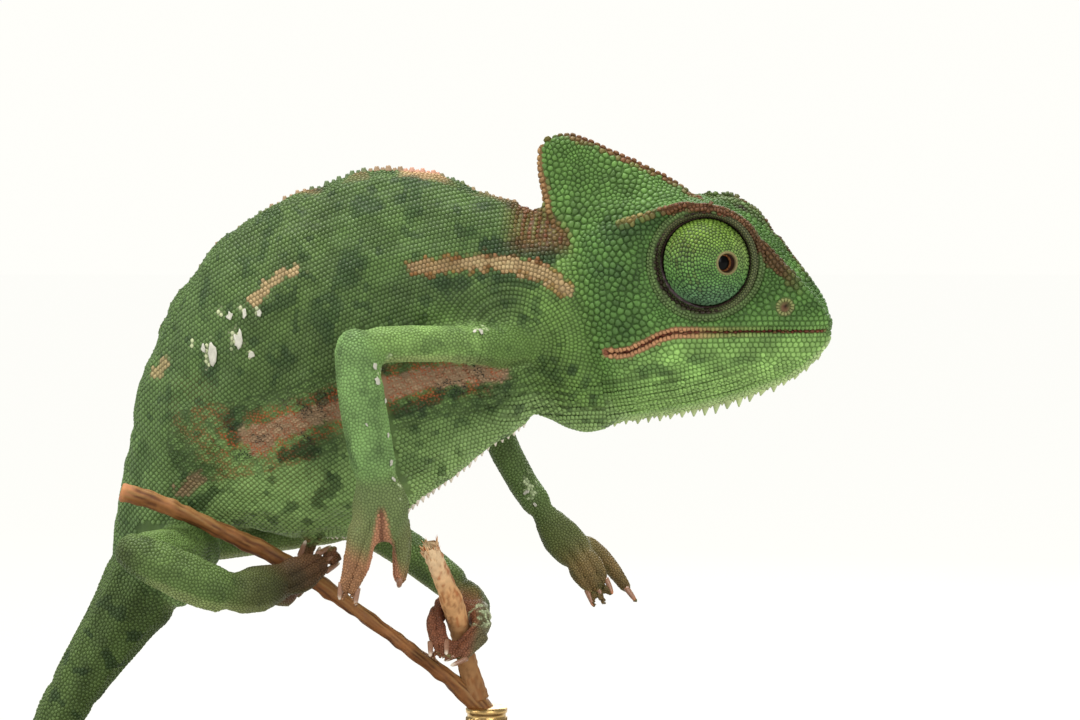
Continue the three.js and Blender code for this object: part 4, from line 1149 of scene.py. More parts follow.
def block_of(p):
    """The number of the block of six that a place on the lower stripe falls in."""
    x, z = ROW_CENTRE[0] - p[:, 0], p[:, 2] - ROW_CENTRE[2]
    radius = np.hypot(x, z) - BLOCK_START
    row = np.floor(radius + 0.29)
    upper = radius - row > BLOCK_SCALE_HIGH / 2
    arc = np.arctan2(z, x) * (BLOCK_START + row + BLOCK_SCALE_HIGH * upper)
    return row * 1000 + np.floor((arc - BLOCK_LONG / 2 * (row % 2) + 0.27) / BLOCK_LONG)


seed_block = np.where(seed_room == BLOCK_SCALE, block_of(roots), -1.0)
_, alike = np.unique(seed_block, return_inverse=True)
block_tint = (1 + 0.09 * np.random.default_rng(17).normal(size=alike.max() + 1))[alike][:, None]
seed_hue = seed_hue * np.where(seed_block[:, None] > 0, block_tint, 1)
print(alike.max(), "blocks of six on the lower stripe")


# %% Beds of seeds
def seed_bed(roots, facing, size, height, hue, places, block, edge):
    """Seeds with the flat positions of their neighbours round each."""
    near = neighbours(roots, 12)
    across = unit(np.cross(facing, row_way(roots, 1e-3)))
    forth = np.cross(across, facing)
    apart = roots[near] - roots[:, None]
    x, y = (apart * forth[:, None]).sum(2), (apart * across[:, None]).sum(2)
    other_side = (facing[:, None] * facing[near]).sum(2) < 0.1
    return {
        "roots": roots, "facing": facing, "size": size, "height": height, "hue": hue, "places": places,
        "across": across, "forth": forth, "x": x, "y": y, "other_side": other_side,
        "edge": edge, "in_block": block > 0, "strange": block[near] != block[:, None],
    }


def outline(bed, chosen, rays, seam):
    """How far each ray of a scale reaches, the rays' directions, and which lie on a block's border."""
    turns = np.arange(rays) * 2 * math.pi / rays + dice.random((len(chosen), 1)) * TURN
    cx, cy = np.cos(turns), np.sin(turns)
    x, y = bed["x"][chosen][:, :, None], bed["y"][chosen][:, :, None]
    lean = x * cx[:, None] + y * cy[:, None]
    half = (x * x + y * y) / (2 * np.maximum(lean, 1e-9))
    half = np.where((lean > 1e-6) & ~bed["other_side"][chosen][:, :, None], half, 9)
    border = np.take_along_axis(bed["strange"][chosen], half.argmin(1), 1)
    size = bed["size"][chosen][:, None]
    reach = np.minimum(half.min(1), 0.78 * size) - seam * (1 + 0.8 * np.abs(cy)) * np.minimum(size, 0.7)
    return np.maximum(reach, 0.1 * size), cx, cy, border


body_bed = seed_bed(roots, facing, seed_room, seed_height, seed_hue, seed_uv, seed_block, seed_edge)
print("beds ready")


# %% Build the pads
def pads(bed, chosen, rays, rings, seam):
    """Points, triangles, colours, crown and map places of closed pads over chosen seeds."""
    reach, cx, cy, border = outline(bed, chosen, rays, seam)
    roots, facing, height = (bed[k][chosen] for k in ("roots", "facing", "height"))
    count, layers = len(chosen), len(rings)
    side = bed["forth"][chosen][:, None] * cx[..., None] + bed["across"][chosen][:, None] * cy[..., None]
    rise = facing[:, None] * height[:, None, None]
    points = np.empty((count, layers * rays + 2, 3))
    crown = np.empty((count, layers * rays + 2))
    flat = np.zeros((count, layers * rays + 2, 2))
    for k, (share, lift, light) in enumerate(rings):
        part = slice(k * rays, (k + 1) * rays)
        # a bright seam takes up a good part of the pad on its side, a plain one hardly any
        wide = reach * np.where(border & (k == layers - 1), 0.76, 1) * share
        points[:, part] = roots[:, None] + side * wide[..., None] + rise * lift
        crown[:, part] = np.where(bed["in_block"][chosen][:, None] & ~border, max(light, 0.75), light)
        flat[:, part] = np.stack([cx, cy], 2) * share
    points[:, -2] = roots - facing * height[:, None] * 0.7
    points[:, -1] = roots + facing * height[:, None]
    crown[:, -2], crown[:, -1] = 0, 1
    one = []
    for r in range(rays):
        s = (r + 1) % rays
        one.append((layers * rays, s, r))
        for k in range(layers - 1):
            a, b = k * rays + r, k * rays + s
            one += [(a, b, b + rays), (a, b + rays, a + rays)]
        one.append(((layers - 1) * rays + r, (layers - 1) * rays + s, layers * rays + 1))
    size = layers * rays + 2
    triangles = (np.array(one)[None] + np.arange(count)[:, None, None] * size).reshape(-1, 3)
    colours = np.repeat(bed["hue"][chosen][:, None], size, 1)
    edge = bed["edge"][chosen][:, None]
    for part in (slice(0, rays), slice(rays, 2 * rays)):
        colours[:, part] = np.where(border[..., None], edge, colours[:, part])
    places = bed["places"][chosen][:, None] + flat * 0.0015
    return points.reshape(-1, 3), triangles, colours.reshape(-1, 3), crown.ravel(), places.reshape(-1, 2)


def coat(name, bed, chosen, rays, rings, slot, seam=0.03):
    points, triangles, colours, crown, places = pads(bed, chosen, rays, rings, seam)
    mesh = mesh_from(name, points, triangles)
    paint_on(mesh, colours, crown)
    corner = read(mesh.loops, "vertex_index", 1, np.int32)[:, 0]
    mesh.uv_layers.new(name="OFBake").data.foreach_set("uv", places[corner].ravel())
    return show(name, mesh, scale_finish, slot)


LOW_RINGS = [(1.0, -0.3, 0.0), (0.78, 0.66, 0.75)]
HIGH_RINGS = [(1.0, -0.3, 0.0), (0.9, 0.42, 0.45), (0.6, 0.88, 0.95)]
side_y = at[:, 1] - np.interp(at[:, 0], [-40, 10, 40], [7.2, 1.2, -3.5])
# no scale covers a nostril
snout = to_head(roots)
open_hole = (round_of(snout, NOSTRIL) < 0.55) & (np.abs(snout[:, 1]) > 1.2)
on_head = (seed_head > 0.5) & ~open_hole
groups = {
    "near_head_scales": on_head & (side_y < 0),
    "far_head_scales": on_head & (side_y >= 0),
    "toe_scales": ~on_head & ~open_hole & np.isin(seed_kind, ["toes", "hand", "foot"]),
    "tail_scales": ~on_head & (seed_kind == "tail"),
    "arm_scales": ~on_head & np.isin(seed_kind, ["upper_arm", "forearm"]),
    "leg_scales": ~on_head & np.isin(seed_kind, ["thigh", "shank"]),
}
rest, front = ~np.any(list(groups.values()), 0) & ~open_hole, at[:, 0] > -3
for side, mine in (("near", side_y < 0), ("far", side_y >= 0)):
    groups[side + "_chest_scales"] = rest & mine & front
    groups[side + "_belly_scales"] = rest & mine & ~front
total = 0
for name, chosen in groups.items():
    rays, rings, seam = (8, HIGH_RINGS, 0.025) if "head" in name else (6, LOW_RINGS, 0.015)
    slot = "toe_skin" if name == "toe_scales" else "scaly_skin"
    piece = coat(name, body_bed, np.flatnonzero(chosen), rays, rings, slot, seam)
    total += len(piece.data.polygons)
print(total, "faces of scales")

# %% [markdown]
# ## Tubes
# Claws, twig and the folds round the eye are all tubes: a path, a
# radius at each step, and a ring of points carried along without twisting. One helper
# makes them, and the caller may reshape the points before the ends are closed.

# %% A tube along a path
def along(table, t, k=1):
    """Column k of a table of rows at place t, on a smooth curve through the rows."""
    rows = np.asarray(table, float)
    t = np.asarray(t, float)
    i = np.clip(np.searchsorted(rows[:, 0], t, side="left") - 1, 0, len(rows) - 2)
    after, before = np.vstack([rows[1:], rows[-1:]]), np.vstack([rows[:1], rows[:-1]])
    slope = (after[:, k] - before[:, k]) / (after[:, 0] - before[:, 0])
    span = rows[i + 1, 0] - rows[i, 0]
    f = np.clip((t - rows[i, 0]) / span, 0, 1)
    g = 1 - f
    return (
        rows[i, k] * g * g * (1 + 2 * f) + rows[i + 1, k] * f * f * (1 + 2 * g)
        + span * f * g * (g * slope[i] - f * slope[i + 1])
    )


def measured(rows):
    """The same rows, led by how far along their line of places each one is."""
    rows = np.asarray(rows, float)
    run = np.concatenate([[0], np.cumsum(np.linalg.norm(np.diff(rows[:, :3], axis=0), axis=1))])
    return np.column_stack([run, rows])


def round_turns(sides):
    return np.arange(sides) * 2 * math.pi / sides


def walls(steps, sides, loop=False):
    """Triangles between rings of points."""
    faces = []
    for i in range(steps if loop else steps - 1):
        for s in range(sides):
            a, b = i * sides + s, i * sides + (s + 1) % sides
            c, d = ((i + 1) % steps) * sides + s, ((i + 1) % steps) * sides + (s + 1) % sides
            faces += [(a, b, d), (a, d, c)]
    return faces


def closed(steps, sides):
    """Triangles between rings of points, and over the first and the last ring."""
    faces, last = walls(steps, sides), (steps - 1) * sides
    for s in range(1, sides - 1):
        faces += [(0, s + 1, s), (last, last + s, last + s + 1)]
    return np.array(faces)


def tube(path, radii, sides, loop=False):
    """Points as rings (steps, sides, 3), and the triangles that close them."""
    path = np.asarray(path, float)
    steps = len(path)
    heading = np.roll(path, -1, 0) - np.roll(path, 1, 0) if loop else np.gradient(path, axis=0)
    heading = unit(heading)
    side = np.cross(heading[0], (0.31, 0.23, 0.92))
    turns = round_turns(sides)
    rings = np.empty((steps, sides, 3))
    for i in range(steps):
        side = unit(side - heading[i] * (side @ heading[i]))
        up = np.cross(heading[i], side)
        rings[i] = path[i] + radii[i] * (np.cos(turns)[:, None] * side + np.sin(turns)[:, None] * up)
    return rings, np.array(walls(steps, sides, loop)) if loop else closed(steps, sides)


def joined_parts(parts):
    """One set of points, triangles and colours from many."""
    points, faces, colours, start = [], [], [], 0
    for p, f, c in parts:
        p = np.asarray(p).reshape(-1, 3)
        points.append(p)
        faces.append(np.asarray(f) + start)
        colours.append(np.broadcast_to(np.asarray(c).reshape(-1, 3), (len(p), 3)))
        start += len(p)
    return np.concatenate(points), np.concatenate(faces), np.concatenate(colours)


def painted_piece(name, parts, material, slot, replaced=()):
    points, faces, colours = joined_parts(parts)
    mesh = mesh_from(name, points, faces)
    paint_on(mesh, colours)
    piece = show(name, mesh, material, slot)
    if replaced:
        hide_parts(*replaced)
    return piece


# %% [markdown]
# ## Eye turrets
# The lids of a chameleon are grown together into a cone that turns with the eye and
# leaves one small round opening. Under it sits a wet ball with a brown iris and a black
# pupil. The cone is a skin of its own with scales in rings round the opening, and loose
# dark folds lie between it and the orbit, with a thin ring of painted shade at the cone's foot.

# %% Turret skin
TURRET = np.array([5.3, 4.75, 5.3])
TURRET_REACH = 5.2  # its radius where the scales stand
TURRET_SIDES = 96
OPENING = math.radians(14)
# Tilt and rise of the rings that turn the lid's edge inwards, in shares of the opening.
LID = [(0.94, -1.1), (0.96, -0.35), (1.0, 0.0), (1.06, 0.1), (1.13, 0.02)]


def gaze(sign):
    """The way an eye looks, with the ways up and across from it, in the head's frame."""
    forward = unit(np.array([4.2, sign * 4.45, 0.3]))
    up = unit(np.cross(np.cross(forward, (0, 0, 1)), forward))
    return forward, up, np.cross(forward, up)


def tilted(tilt, turn, forward, up, across):
    """Directions tilted away from the way forward and turned round it."""
    tilt, turn = np.broadcast_arrays(tilt, turn)
    return (
        np.cos(tilt)[..., None] * forward
        + (np.sin(tilt) * np.cos(turn))[..., None] * up
        + (np.sin(tilt) * np.sin(turn))[..., None] * across
    )


def on_turret(sign, tilt, turn, rise=0.0):
    """Place and direction on a turret, tilt away from the gaze and turn round it, in world space."""
    way = tilted(tilt, turn, *gaze(sign))
    reach = 1 / np.linalg.norm(way / TURRET, axis=-1) + rise
    centre = np.array(EYE_CENTRE) * (1, sign, 1)
    return from_head(centre + way * np.asarray(reach)[..., None]), unit(way / TURRET**2) @ HEAD_TURN.T


def turret_paint(places):
    x, _, z = to_head(places).T
    colour = mix(srgb(84, 118, 96), srgb(102, 134, 52), ease(z, -4, 4))
    colour = mix(colour, srgb(96, 150, 62), 0.5 * bump(z + 1.5, 2.2))
    # fine dark arcs on the rear half, a paler zone in front of the opening
    for start in (-4.2, -3.4, -2.7, -1.9, -1.1):
        arc = bump(x - start - 0.045 * (z - 0.5) ** 2, 0.14)
        colour = mix(colour, srgb(70, 46, 26), 0.5 * arc * ease(z + start, -5.5, -3.5) * ease(-z, -4, -2))
    colour = mix(colour, srgb(150, 168, 108), 0.35 * ease(x, 2.6, 4.4) * ease(z, -2.5, 0.5))
    return colour * (1 + 0.12 * mottle(places, 1.6, 81))[:, None]


turret_parts = []
rows = [(OPENING * share, rise) for share, rise in LID]
rows += [(t, -0.1) for t in np.radians(np.arange(19, 130, 3))]
tilts = np.repeat([tilt for tilt, _ in rows], TURRET_SIDES)
for sign in (-1, 1):
    rings = np.array([on_turret(sign, tilt, round_turns(TURRET_SIDES), rise)[0] for tilt, rise in rows])
    flat = rings.reshape(-1, 3)
    shade = turret_paint(flat) * 0.3
    shade = mix(shade, srgb(160, 140, 96), 0.6 * ease(-tilts, -OPENING * 1.2, -OPENING * 1.1))
    shade = mix(shade, srgb(44, 24, 16), ease(-tilts, -OPENING * 1.01, -OPENING * 0.97))
    # the rings run backwards, from the opening to the root, so their faces are turned round
    turret_parts.append((flat, closed(len(rows), TURRET_SIDES)[:, ::-1], shade))
print("turret skin of", len(turret_parts[0][0]), "points")

# %% Scales in rings round the opening
eye_roots, eye_facing, eye_size, eye_map = [], [], [], []
for sign in (-1, 1):
    tilt, row = OPENING * 1.27, 0
    while tilt < math.radians(112):
        step = 0.4 + 0.14 * ease(tilt, 0.4, 1.0)
        number = max(int(2 * math.pi * math.sin(tilt) * TURRET_REACH / step), 8)
        order = np.arange(number)
        turns = (order + 0.5 * (row % 2)) * 2 * math.pi / number
        turns += 0.03 * mottle(order[:, None] * (1, 0, 0), 3, 82)
        tilts = tilt + 0.012 * mottle(order[:, None] * (0, 1, 0), 2, 83)
        spots, ways = on_turret(sign, tilts, turns, -0.1)
        eye_roots.append(spots)
        eye_facing.append(ways)
        eye_size.append(np.full(number, step))
        eye_map.append(0.5 + np.stack([np.cos(turns), np.sin(turns)], 1) * tilt / 4.4)
        tilt += step * 0.9 / TURRET_REACH
        row += 1
eye_hue = [turret_paint(np.concatenate(eye_roots))]
print("turret scales:", len(eye_hue[0]))

# %% Granular folds between turret and orbit
# Each fold is a ring tube: radius, depth, thickness, colour, from turn, to turn.
FOLDS = [
    (6.04, 5.85, 0.38, (96, 106, 72), 0, 2 * math.pi),
    # this thin dark ring at the turret's foot is painted shade in the groove there
    (5.55, 5.45, 0.17, (58, 44, 36), 0, 2 * math.pi),
    (5.62, 5.7, 0.34, (104, 88, 92), math.radians(172), math.radians(268)),
]
FOLD_SCALES, FOLD_STEPS = 104, 90
EYE_WARMTH = (1.06, 1.04, 0.84)


def fold_path(sign, radius, depth, turns):
    """A slightly wavy ring round the eye, in the head's frame."""
    wave = 1 + 0.008 * np.sin(turns * 3 + radius)
    x, z = radius * wave * np.cos(turns), radius * wave * np.sin(turns)
    return np.stack([EYE_CENTRE[0] + x, sign * (depth - 0.15 * np.cos(turns)), EYE_CENTRE[2] + z], 1)


for sign in (-1, 1):
    radius, depth, thick, shade, *_ = FOLDS[0]
    for number, lean in enumerate((-62, -21, 20, 61)):
        turns = (np.arange(FOLD_SCALES) + 0.5 * (number % 2)) * 2 * math.pi / FOLD_SCALES
        out = np.stack([np.cos(turns), 0 * turns, np.sin(turns)], 1)
        ways = math.cos(math.radians(lean)) * np.array([0, sign, 0]) + math.sin(math.radians(lean)) * out
        eye_roots.append(from_head(fold_path(sign, radius, depth, turns) + ways * thick))
        eye_facing.append(ways @ HEAD_TURN.T)
        eye_size.append(np.full(FOLD_SCALES, 0.34))
        eye_map.append(0.5 + np.stack([np.cos(turns), np.sin(turns)], 1) * (0.46 + 0.008 * number))
        hue = mix(srgb(*shade), srgb(70, 58, 40), 0.5 * ease(np.sin(turns), -0.2, 0.9))
        # the outer rows, where the fold turns into the grooves on both sides, are darkened as painted shade
        eye_hue.append(hue * (0.7 if abs(lean) > 40 else 1.0))
eye_roots, eye_facing, eye_size = map(np.concatenate, (eye_roots, eye_facing, eye_size))
eye_map, eye_hue = np.concatenate(eye_map), np.concatenate(eye_hue)
eye_hue = eye_hue * (1 + 0.1 * dice.normal(size=(len(eye_roots), 1)).clip(-2, 2)) * EYE_WARMTH
eye_bed = seed_bed(eye_roots, eye_facing, eye_size, 0.2 * eye_size, eye_hue, eye_map, 0 * eye_size, eye_hue)
coat("turret_scales", eye_bed, np.arange(len(eye_roots)), 6, LOW_RINGS, "eye_turret")

# %% The folds' own skin
for sign in (-1, 1):
    for radius, depth, thick, shade, start, stop in FOLDS:
        whole = stop == 2 * math.pi
        turns = np.linspace(start, stop, FOLD_STEPS + 1)[:-1]
        swell = np.ones(FOLD_STEPS) if whole else 0.15 + 0.85 * np.sin(np.linspace(0, math.pi, FOLD_STEPS))
        rings, faces = tube(from_head(fold_path(sign, radius, depth, turns)), thick * swell, 10, loop=whole)
        # the thick fold is covered by scales, and shows only as dark seams
        uneven = (1 + 0.25 * mottle(rings.reshape(-1, 3), 0.7, 84))[:, None]
        turret_parts.append((rings, faces, srgb(*shade) * (0.4 if thick > 0.35 else 1) * uneven))
turret_finish = painted("turret skin", 3600, 0.35, 0.55, 0.5, Specular_IOR_Level=0.25)
painted_piece("turret_skin", turret_parts, turret_finish, "eye_turret", ("eye_right", "eye_left"))

# %% Eyeballs
BALL_RADIUS, BALL_DEPTH, BALL_SIDES = 2.05, 2.55, 48
# Rings from the pupil to the back, closest at the edges of pupil and iris, in degrees.
BALL_TILTS = [0.5, 3, 6, 9, 11, 12.5, 14, 16, 18, 20, 22, 24, 27, 31, 36, 45, 60, 80, 100, 125, 150, 175]

ball_parts = []
for sign in (-1, 1):
    forward, up, across = gaze(sign)
    centre = np.array(EYE_CENTRE) * (1, sign, 1) + forward * BALL_DEPTH
    look_way = unit(forward + (-0.2, 0, 0.02))
    way = tilted(np.radians(BALL_TILTS)[:, None], round_turns(BALL_SIDES), look_way, up, across)
    flat = from_head(centre + way * BALL_RADIUS).reshape(-1, 3)
    angle = np.repeat(BALL_TILTS, BALL_SIDES)
    iris = srgb(112, 70, 40) * (1 + 0.3 * mottle(flat, 0.35, 85))[:, None]
    colour = mix(iris, srgb(2, 2, 2), ease(-angle, -26, -24))
    colour = mix(colour, srgb(60, 34, 22), ease(angle, 36, 44))
    ball_parts.append((flat, closed(len(BALL_TILTS), BALL_SIDES)[:, ::-1], colour))
wet_finish = painted(
    "wet eye", 900, 0.15, 0.3, 0.02, Specular_IOR_Level=0.05, Coat_Weight=0.12, Coat_Roughness=0.04
)
painted_piece("eyeballs", ball_parts, wet_finish, "eye_turret")

# %% [markdown]
# ## Crests
# Soft cones stand in a row along the throat, smaller white ones under the belly, and
# blunt ones along the back, tallest over the shoulders. A row of things along a line is
# work for Geometry Nodes: points carry a direction, a height and a colour, a cone is set
# on each, and the instances are made real so that they survive an export.

# %% The lines that crests follow
# Back in x, z; belly in x, z; y of both.
BACK_AND_BELLY = [
    [28.0, 104.0, 27.0, 76.9, -0.8], [22.4, 104.4, 22.2, 75.8, 0.0], [18.4, 104.2, 18.6, 76.2, 0.4],
    [13.6, 104.6, 15.2, 77.6, 1.0], [7.5, 107.0, 11.0, 74.4, 1.8], [0.5, 109.0, 3.5, 68.8, 2.6],
    [-8.0, 108.4, -2.5, 64.2, 3.6], [-18.6, 104.4, -8.0, 62.0, 4.6], [-26.7, 97.4, -15.5, 61.7, 5.4],
    [-32.6, 89.0, -21.8, 63.0, 6.2], [-35.9, 79.0, -24.5, 61.6, 6.8], [-37.7, 69.0, -26.0, 57.5, 7.2],
    [-39.0, 60.2, -29.4, 52.4, 7.6],
]
TRUNK = measured([((r[0] + r[2]) / 2, r[4], (r[1] + r[3]) / 2, *r) for r in BACK_AND_BELLY])


def trunk_line(place, edge):
    """Points along the trunk's back or belly, and the way out of the trunk at each."""
    back, belly = (np.stack([along(TRUNK, place, k) for k in row], 1) for row in ((4, 8, 5), (6, 8, 7)))
    here, other = (back, belly) if edge == "back" else (belly, back)
    return here, unit(here - other)


def settle(points):
    """The same points, brought onto the finished skin."""
    _, face, weights = land(points)
    return blend_at(skin, face, weights)


def crest(points, ways, heights, widths, hue):
    """A row of cones, a little uneven: points, ways, sizes, colours."""
    dice = np.random.default_rng(len(points))
    heights = heights * dice.uniform(0.85, 1.1, len(points))
    sizes = np.stack([widths * dice.uniform(0.9, 1.1, len(points)), heights + 0.2], 1)
    hues = np.asarray(hue) * (1 + 0.08 * dice.normal(size=(len(points), 1)).clip(-2, 2))
    return settle(points) - ways * 0.2, unit(ways + dice.normal(0, 0.05, ways.shape)), sizes, hues


def cone_heights(table, place, every_other=1.0):
    """Heights along a crest, with every other cone a share of the one before."""
    return along(table, place) * np.where(np.arange(len(place)) % 2, every_other, 1.0)


# Place along the crest and height of its cones.
BACK_HEIGHTS = [[13, 0.22], [24, 0.45], [30, 0.55], [36, 0.5], [46, 0.28], [63, 0.12]]
BELLY_HEIGHTS = [[14, 0.45], [28, 0.62], [40, 0.45], [47, 0.2]]
THROAT_HEIGHTS = [[-16, 0.5], [-8, 0.75], [-3, 1.0], [0, 1.2], [5, 0.9], [13, 0.45]]
place = np.arange(14, 63, 0.7)
points, ways = trunk_line(place, "back")
heights = cone_heights(BACK_HEIGHTS, place, 0.6)
warm = np.maximum(ease(mottle(points, 5, 91), 0.0, 1.2) * 0.5, ease(-np.abs(points[:, 0] - 1.3), -3, -2))
hues = mix(srgb(88, 108, 66), srgb(196, 146, 122), warm)
back_crest = crest(points, ways, heights, heights * 0.62 + 0.2, hues)
place = np.arange(15, 47, 0.8)
points, ways = trunk_line(place, "belly")
heights = cone_heights(BELLY_HEIGHTS, place)
belly_crest = crest(points, ways, heights, heights * 0.35 + 0.22, srgb(222, 212, 196))
x = np.arange(-15, 12.6, 0.725)
points = from_head(np.stack([x, 0 * x, along(THROAT, x)], 1))
down = np.tile(unit(np.array([-0.12, 0, -1.0])) @ HEAD_TURN.T, (len(x), 1))
heights = cone_heights(THROAT_HEIGHTS, x, 0.42)
throat_crest = crest(points, down, heights, heights * 0.36 + 0.24, srgb(176, 192, 134))
pale_crests = [np.concatenate(pair) for pair in zip(belly_crest, throat_crest)]
print(len(back_crest[0]) + len(pale_crests[0]), "cones in three crests")

# %% Cones by Geometry Nodes
crest_finish = painted("crest cones", 2600, 0.3, 0.45, 0.3)


def row_of_cones(material):
    """A node tree that sets a cone on each point, by the point's own way and size."""
    tree, given, made = node_group(
        "row of cones", "GeometryNodeTree",
        {"Geometry": ("Geometry",), "Cone Sides": ("Int", 9), "Tip Share": ("Float", 0.2)},
        {"Geometry": ("Geometry",)},
    )
    shape = [(given["Cone Sides"], "Vertices"), (given["Tip Share"], "Radius Top")]
    cone = node(tree, "GeometryNodeMeshCone", shape, Side_Segments=4, Radius_Bottom=1.0, Depth=1.0)
    smooth = node(tree, "GeometryNodeSetShadeSmooth", [(cone.outputs["Mesh"], "Geometry")])
    way = node(tree, "GeometryNodeInputNamedAttribute", data_type="FLOAT_VECTOR", Name="way")
    size = node(tree, "GeometryNodeInputNamedAttribute", data_type="FLOAT_VECTOR", Name="size")
    turn = node(tree, "FunctionNodeAlignRotationToVector", [(way.outputs["Attribute"], "Vector")], axis="Z")
    plant = node(tree, "GeometryNodeInstanceOnPoints", [
        (given["Geometry"], "Points"), (smooth.outputs["Geometry"], "Instance"),
        (turn.outputs["Rotation"], "Rotation"), (size.outputs["Attribute"], "Scale"),
    ])
    real = node(tree, "GeometryNodeRealizeInstances", [(plant.outputs["Instances"], "Geometry")])
    dress = node(tree, "GeometryNodeSetMaterial", [(real.outputs["Geometry"], "Geometry")], Material=material)
    tree.links.new(dress.outputs["Geometry"], made["Geometry"])
    return tree


def cones(name, tree, points, ways, sizes, hues, slot, sides, tip):
    """A piece of cones; sizes are half width and height, tip is the share of the width left on top."""
    seeds = bpy.data.meshes.new(name + " seeds")
    seeds.vertices.add(len(points))
    seeds.vertices.foreach_set("co", (points * MM).ravel())
    for key, values in (("way", ways), ("size", sizes[:, [0, 0, 1]] * MM)):
        vectors = seeds.attributes.new(key, "FLOAT_VECTOR", "POINT").data
        vectors.foreach_set("vector", np.asarray(values, float).ravel())
    paint_on(seeds, hues)
    row = added(name + " seeds", seeds)
    nodes = row.modifiers.new("cones", "NODES")
    nodes.node_group = tree
    settings = {"Cone Sides": sides, "Tip Share": tip}
    for item in tree.interface.items_tree:
        if item.in_out == "INPUT" and item.name in settings:
            nodes[item.identifier] = settings[item.name]
    mesh = bpy.data.meshes.new_from_object(row.evaluated_get(bpy.context.evaluated_depsgraph_get()))
    mesh.name = name
    bpy.data.objects.remove(row)
    return show(name, mesh, tree.nodes["Set Material"].inputs["Material"].default_value, slot)


crest_row = row_of_cones(crest_finish)
cones("back_crest", crest_row, *back_crest, "scaly_skin", sides=9, tip=0.45)
cones("belly_and_throat_crests", crest_row, *pale_crests, "scaly_skin", sides=9, tip=0.14)

# %% [markdown]
# ## Claws
# Each foot is two bundles of fused toes, and every toe ends in a pale hooked claw. A claw
# is a short tube that bends and comes to a point, darker where it leaves the toe.

# %% Claws
CLAW_STEPS, CLAW_SIDES, CLAW_RADIUS, CLAW_POINT = 12, 12, 0.33, 0.04
claw_parts = []
for name, before, end, sizes, flat, claws, bend in BUNDLES:
    middle, heading, side = bundle_end(before, end, sizes, flat)
    for c in range(claws):
        share = 2 * c / (claws - 1) - 1
        root = middle + side * share * max(sizes) * 0.62
        tip = root + heading * (1.1 + min(sizes) * 0.75) + np.array(bend) * 0.7
        knee = root * 0.4 + tip * 0.6 + heading * 0.35
        t = np.linspace(0, 1, CLAW_STEPS)[:, None]
        path = (1 - t) ** 2 * root + 2 * t * (1 - t) * (2 * knee - (root + tip) / 2) + t**2 * tip
        radii = CLAW_RADIUS * (1 - t[:, 0] ** 1.6) ** 0.8 + CLAW_POINT
        rings, faces = tube(path, radii, CLAW_SIDES)
        pale = (196, 130, 92) if name.startswith("hand_left") else (224, 210, 190)
        hue = mix(srgb(150, 110, 86), srgb(*pale), ease(t[:, 0], 0.4, 0.8))
        claw_parts.append((rings, faces, np.repeat(hue, CLAW_SIDES, 0)))
claw_finish = painted("claw horn", 1800, 0.25, 0.3, 0.15)
painted_piece("claws", claw_parts, claw_finish, "toe_skin")

# %% [markdown]
# ## Flakes of old skin
# The animal is shedding: small white flakes cling to the flank, arm and far foot. A flake
# is a thin ragged sheet that lies over the scales and lifts a little at its edge.

# %% Flakes
FLAKE_SIDES = 14
FLAKE_LIFT = 0.2
# Share of the flake's width and height above its foot: two edges of a thin sheet, then its back.
FLAKE_RINGS = [(1.0, 0.02), (1.0, 0.09), (0.6, 0.05), (0.25, 0.03)]
# Place and half length of the flakes on the limbs.
LIMB_FLAKES = [
    ((9.2, -9.4, 89.6), 0.5), ((8.0, -9.6, 89.4), 0.35), ((-2.4, -17.4, 85.2), 0.6),
    ((-1.9, -17.6, 83.4), 0.7), ((-0.9, -16.4, 81.0), 0.4), ((-1.2, -16.6, 77.0), 0.35),
    ((-1.2, -16.5, 73.4), 0.5), ((-0.9, -16.3, 71.6), 0.4), ((-4.6, -18, 78.2), 0.28),
    ((14.2, 17.4, 66.6), 0.5), ((15.4, 17.4, 64.8), 0.4), ((9.2, 3.0, 54.0), 0.45),
]
flake_parts = []
dice = np.random.default_rng(11)


def flake(place, long, wide, tilt):
    """A thin ragged sheet on the skin, its length tilted from upright."""
    _, face, weights = land([place])
    middle = blend_at(skin, face, weights)[0]
    n = unit(blend_at(skin_normals, face, weights))[0]
    up = unit(np.array([0, 0, 1.0]) - n * n[2])
    across = np.cross(up, n)
    up, across = up * math.cos(tilt) + across * math.sin(tilt), across * math.cos(tilt) - up * math.sin(tilt)
    turns = round_turns(FLAKE_SIDES)
    ragged = dice.uniform(0.5, 1.15, FLAKE_SIDES)
    rings = []
    for share, rise in FLAKE_RINGS:
        sideways = (np.cos(turns) * ragged * wide * share)[:, None] * across
        foot = settle(middle + sideways + (np.sin(turns) * ragged * long * share)[:, None] * up)
        rings.append(foot + n * (FLAKE_LIFT + rise + 0.05 * dice.random(FLAKE_SIDES))[:, None])
    return np.array(rings), closed(len(rings), FLAKE_SIDES), srgb(192, 190, 176)


for x, z, tall, wide in FLAKES:
    flake_parts.append(flake((x, -5, z), tall, wide, dice.uniform(-0.2, 0.2)))
for place, size in LIMB_FLAKES:
    flake_parts.append(flake(place, size, size * 0.6, dice.uniform(-1.2, 1.2)))
flake_finish = painted("shed skin", 2200, 0.35, 0.6, 0.4)
painted_piece("flakes", flake_parts, flake_finish, "scaly_skin")

# %% [markdown]
# ## The twig
# The animal sits on a forked twig: a thin red-brown branch with shallow ridges and a few
# knots, and a peeled dead stub that has gone pale and frays at its end. Both are tubes
# whose points are pushed in and out by soft patterns, so the ridges follow the wood.

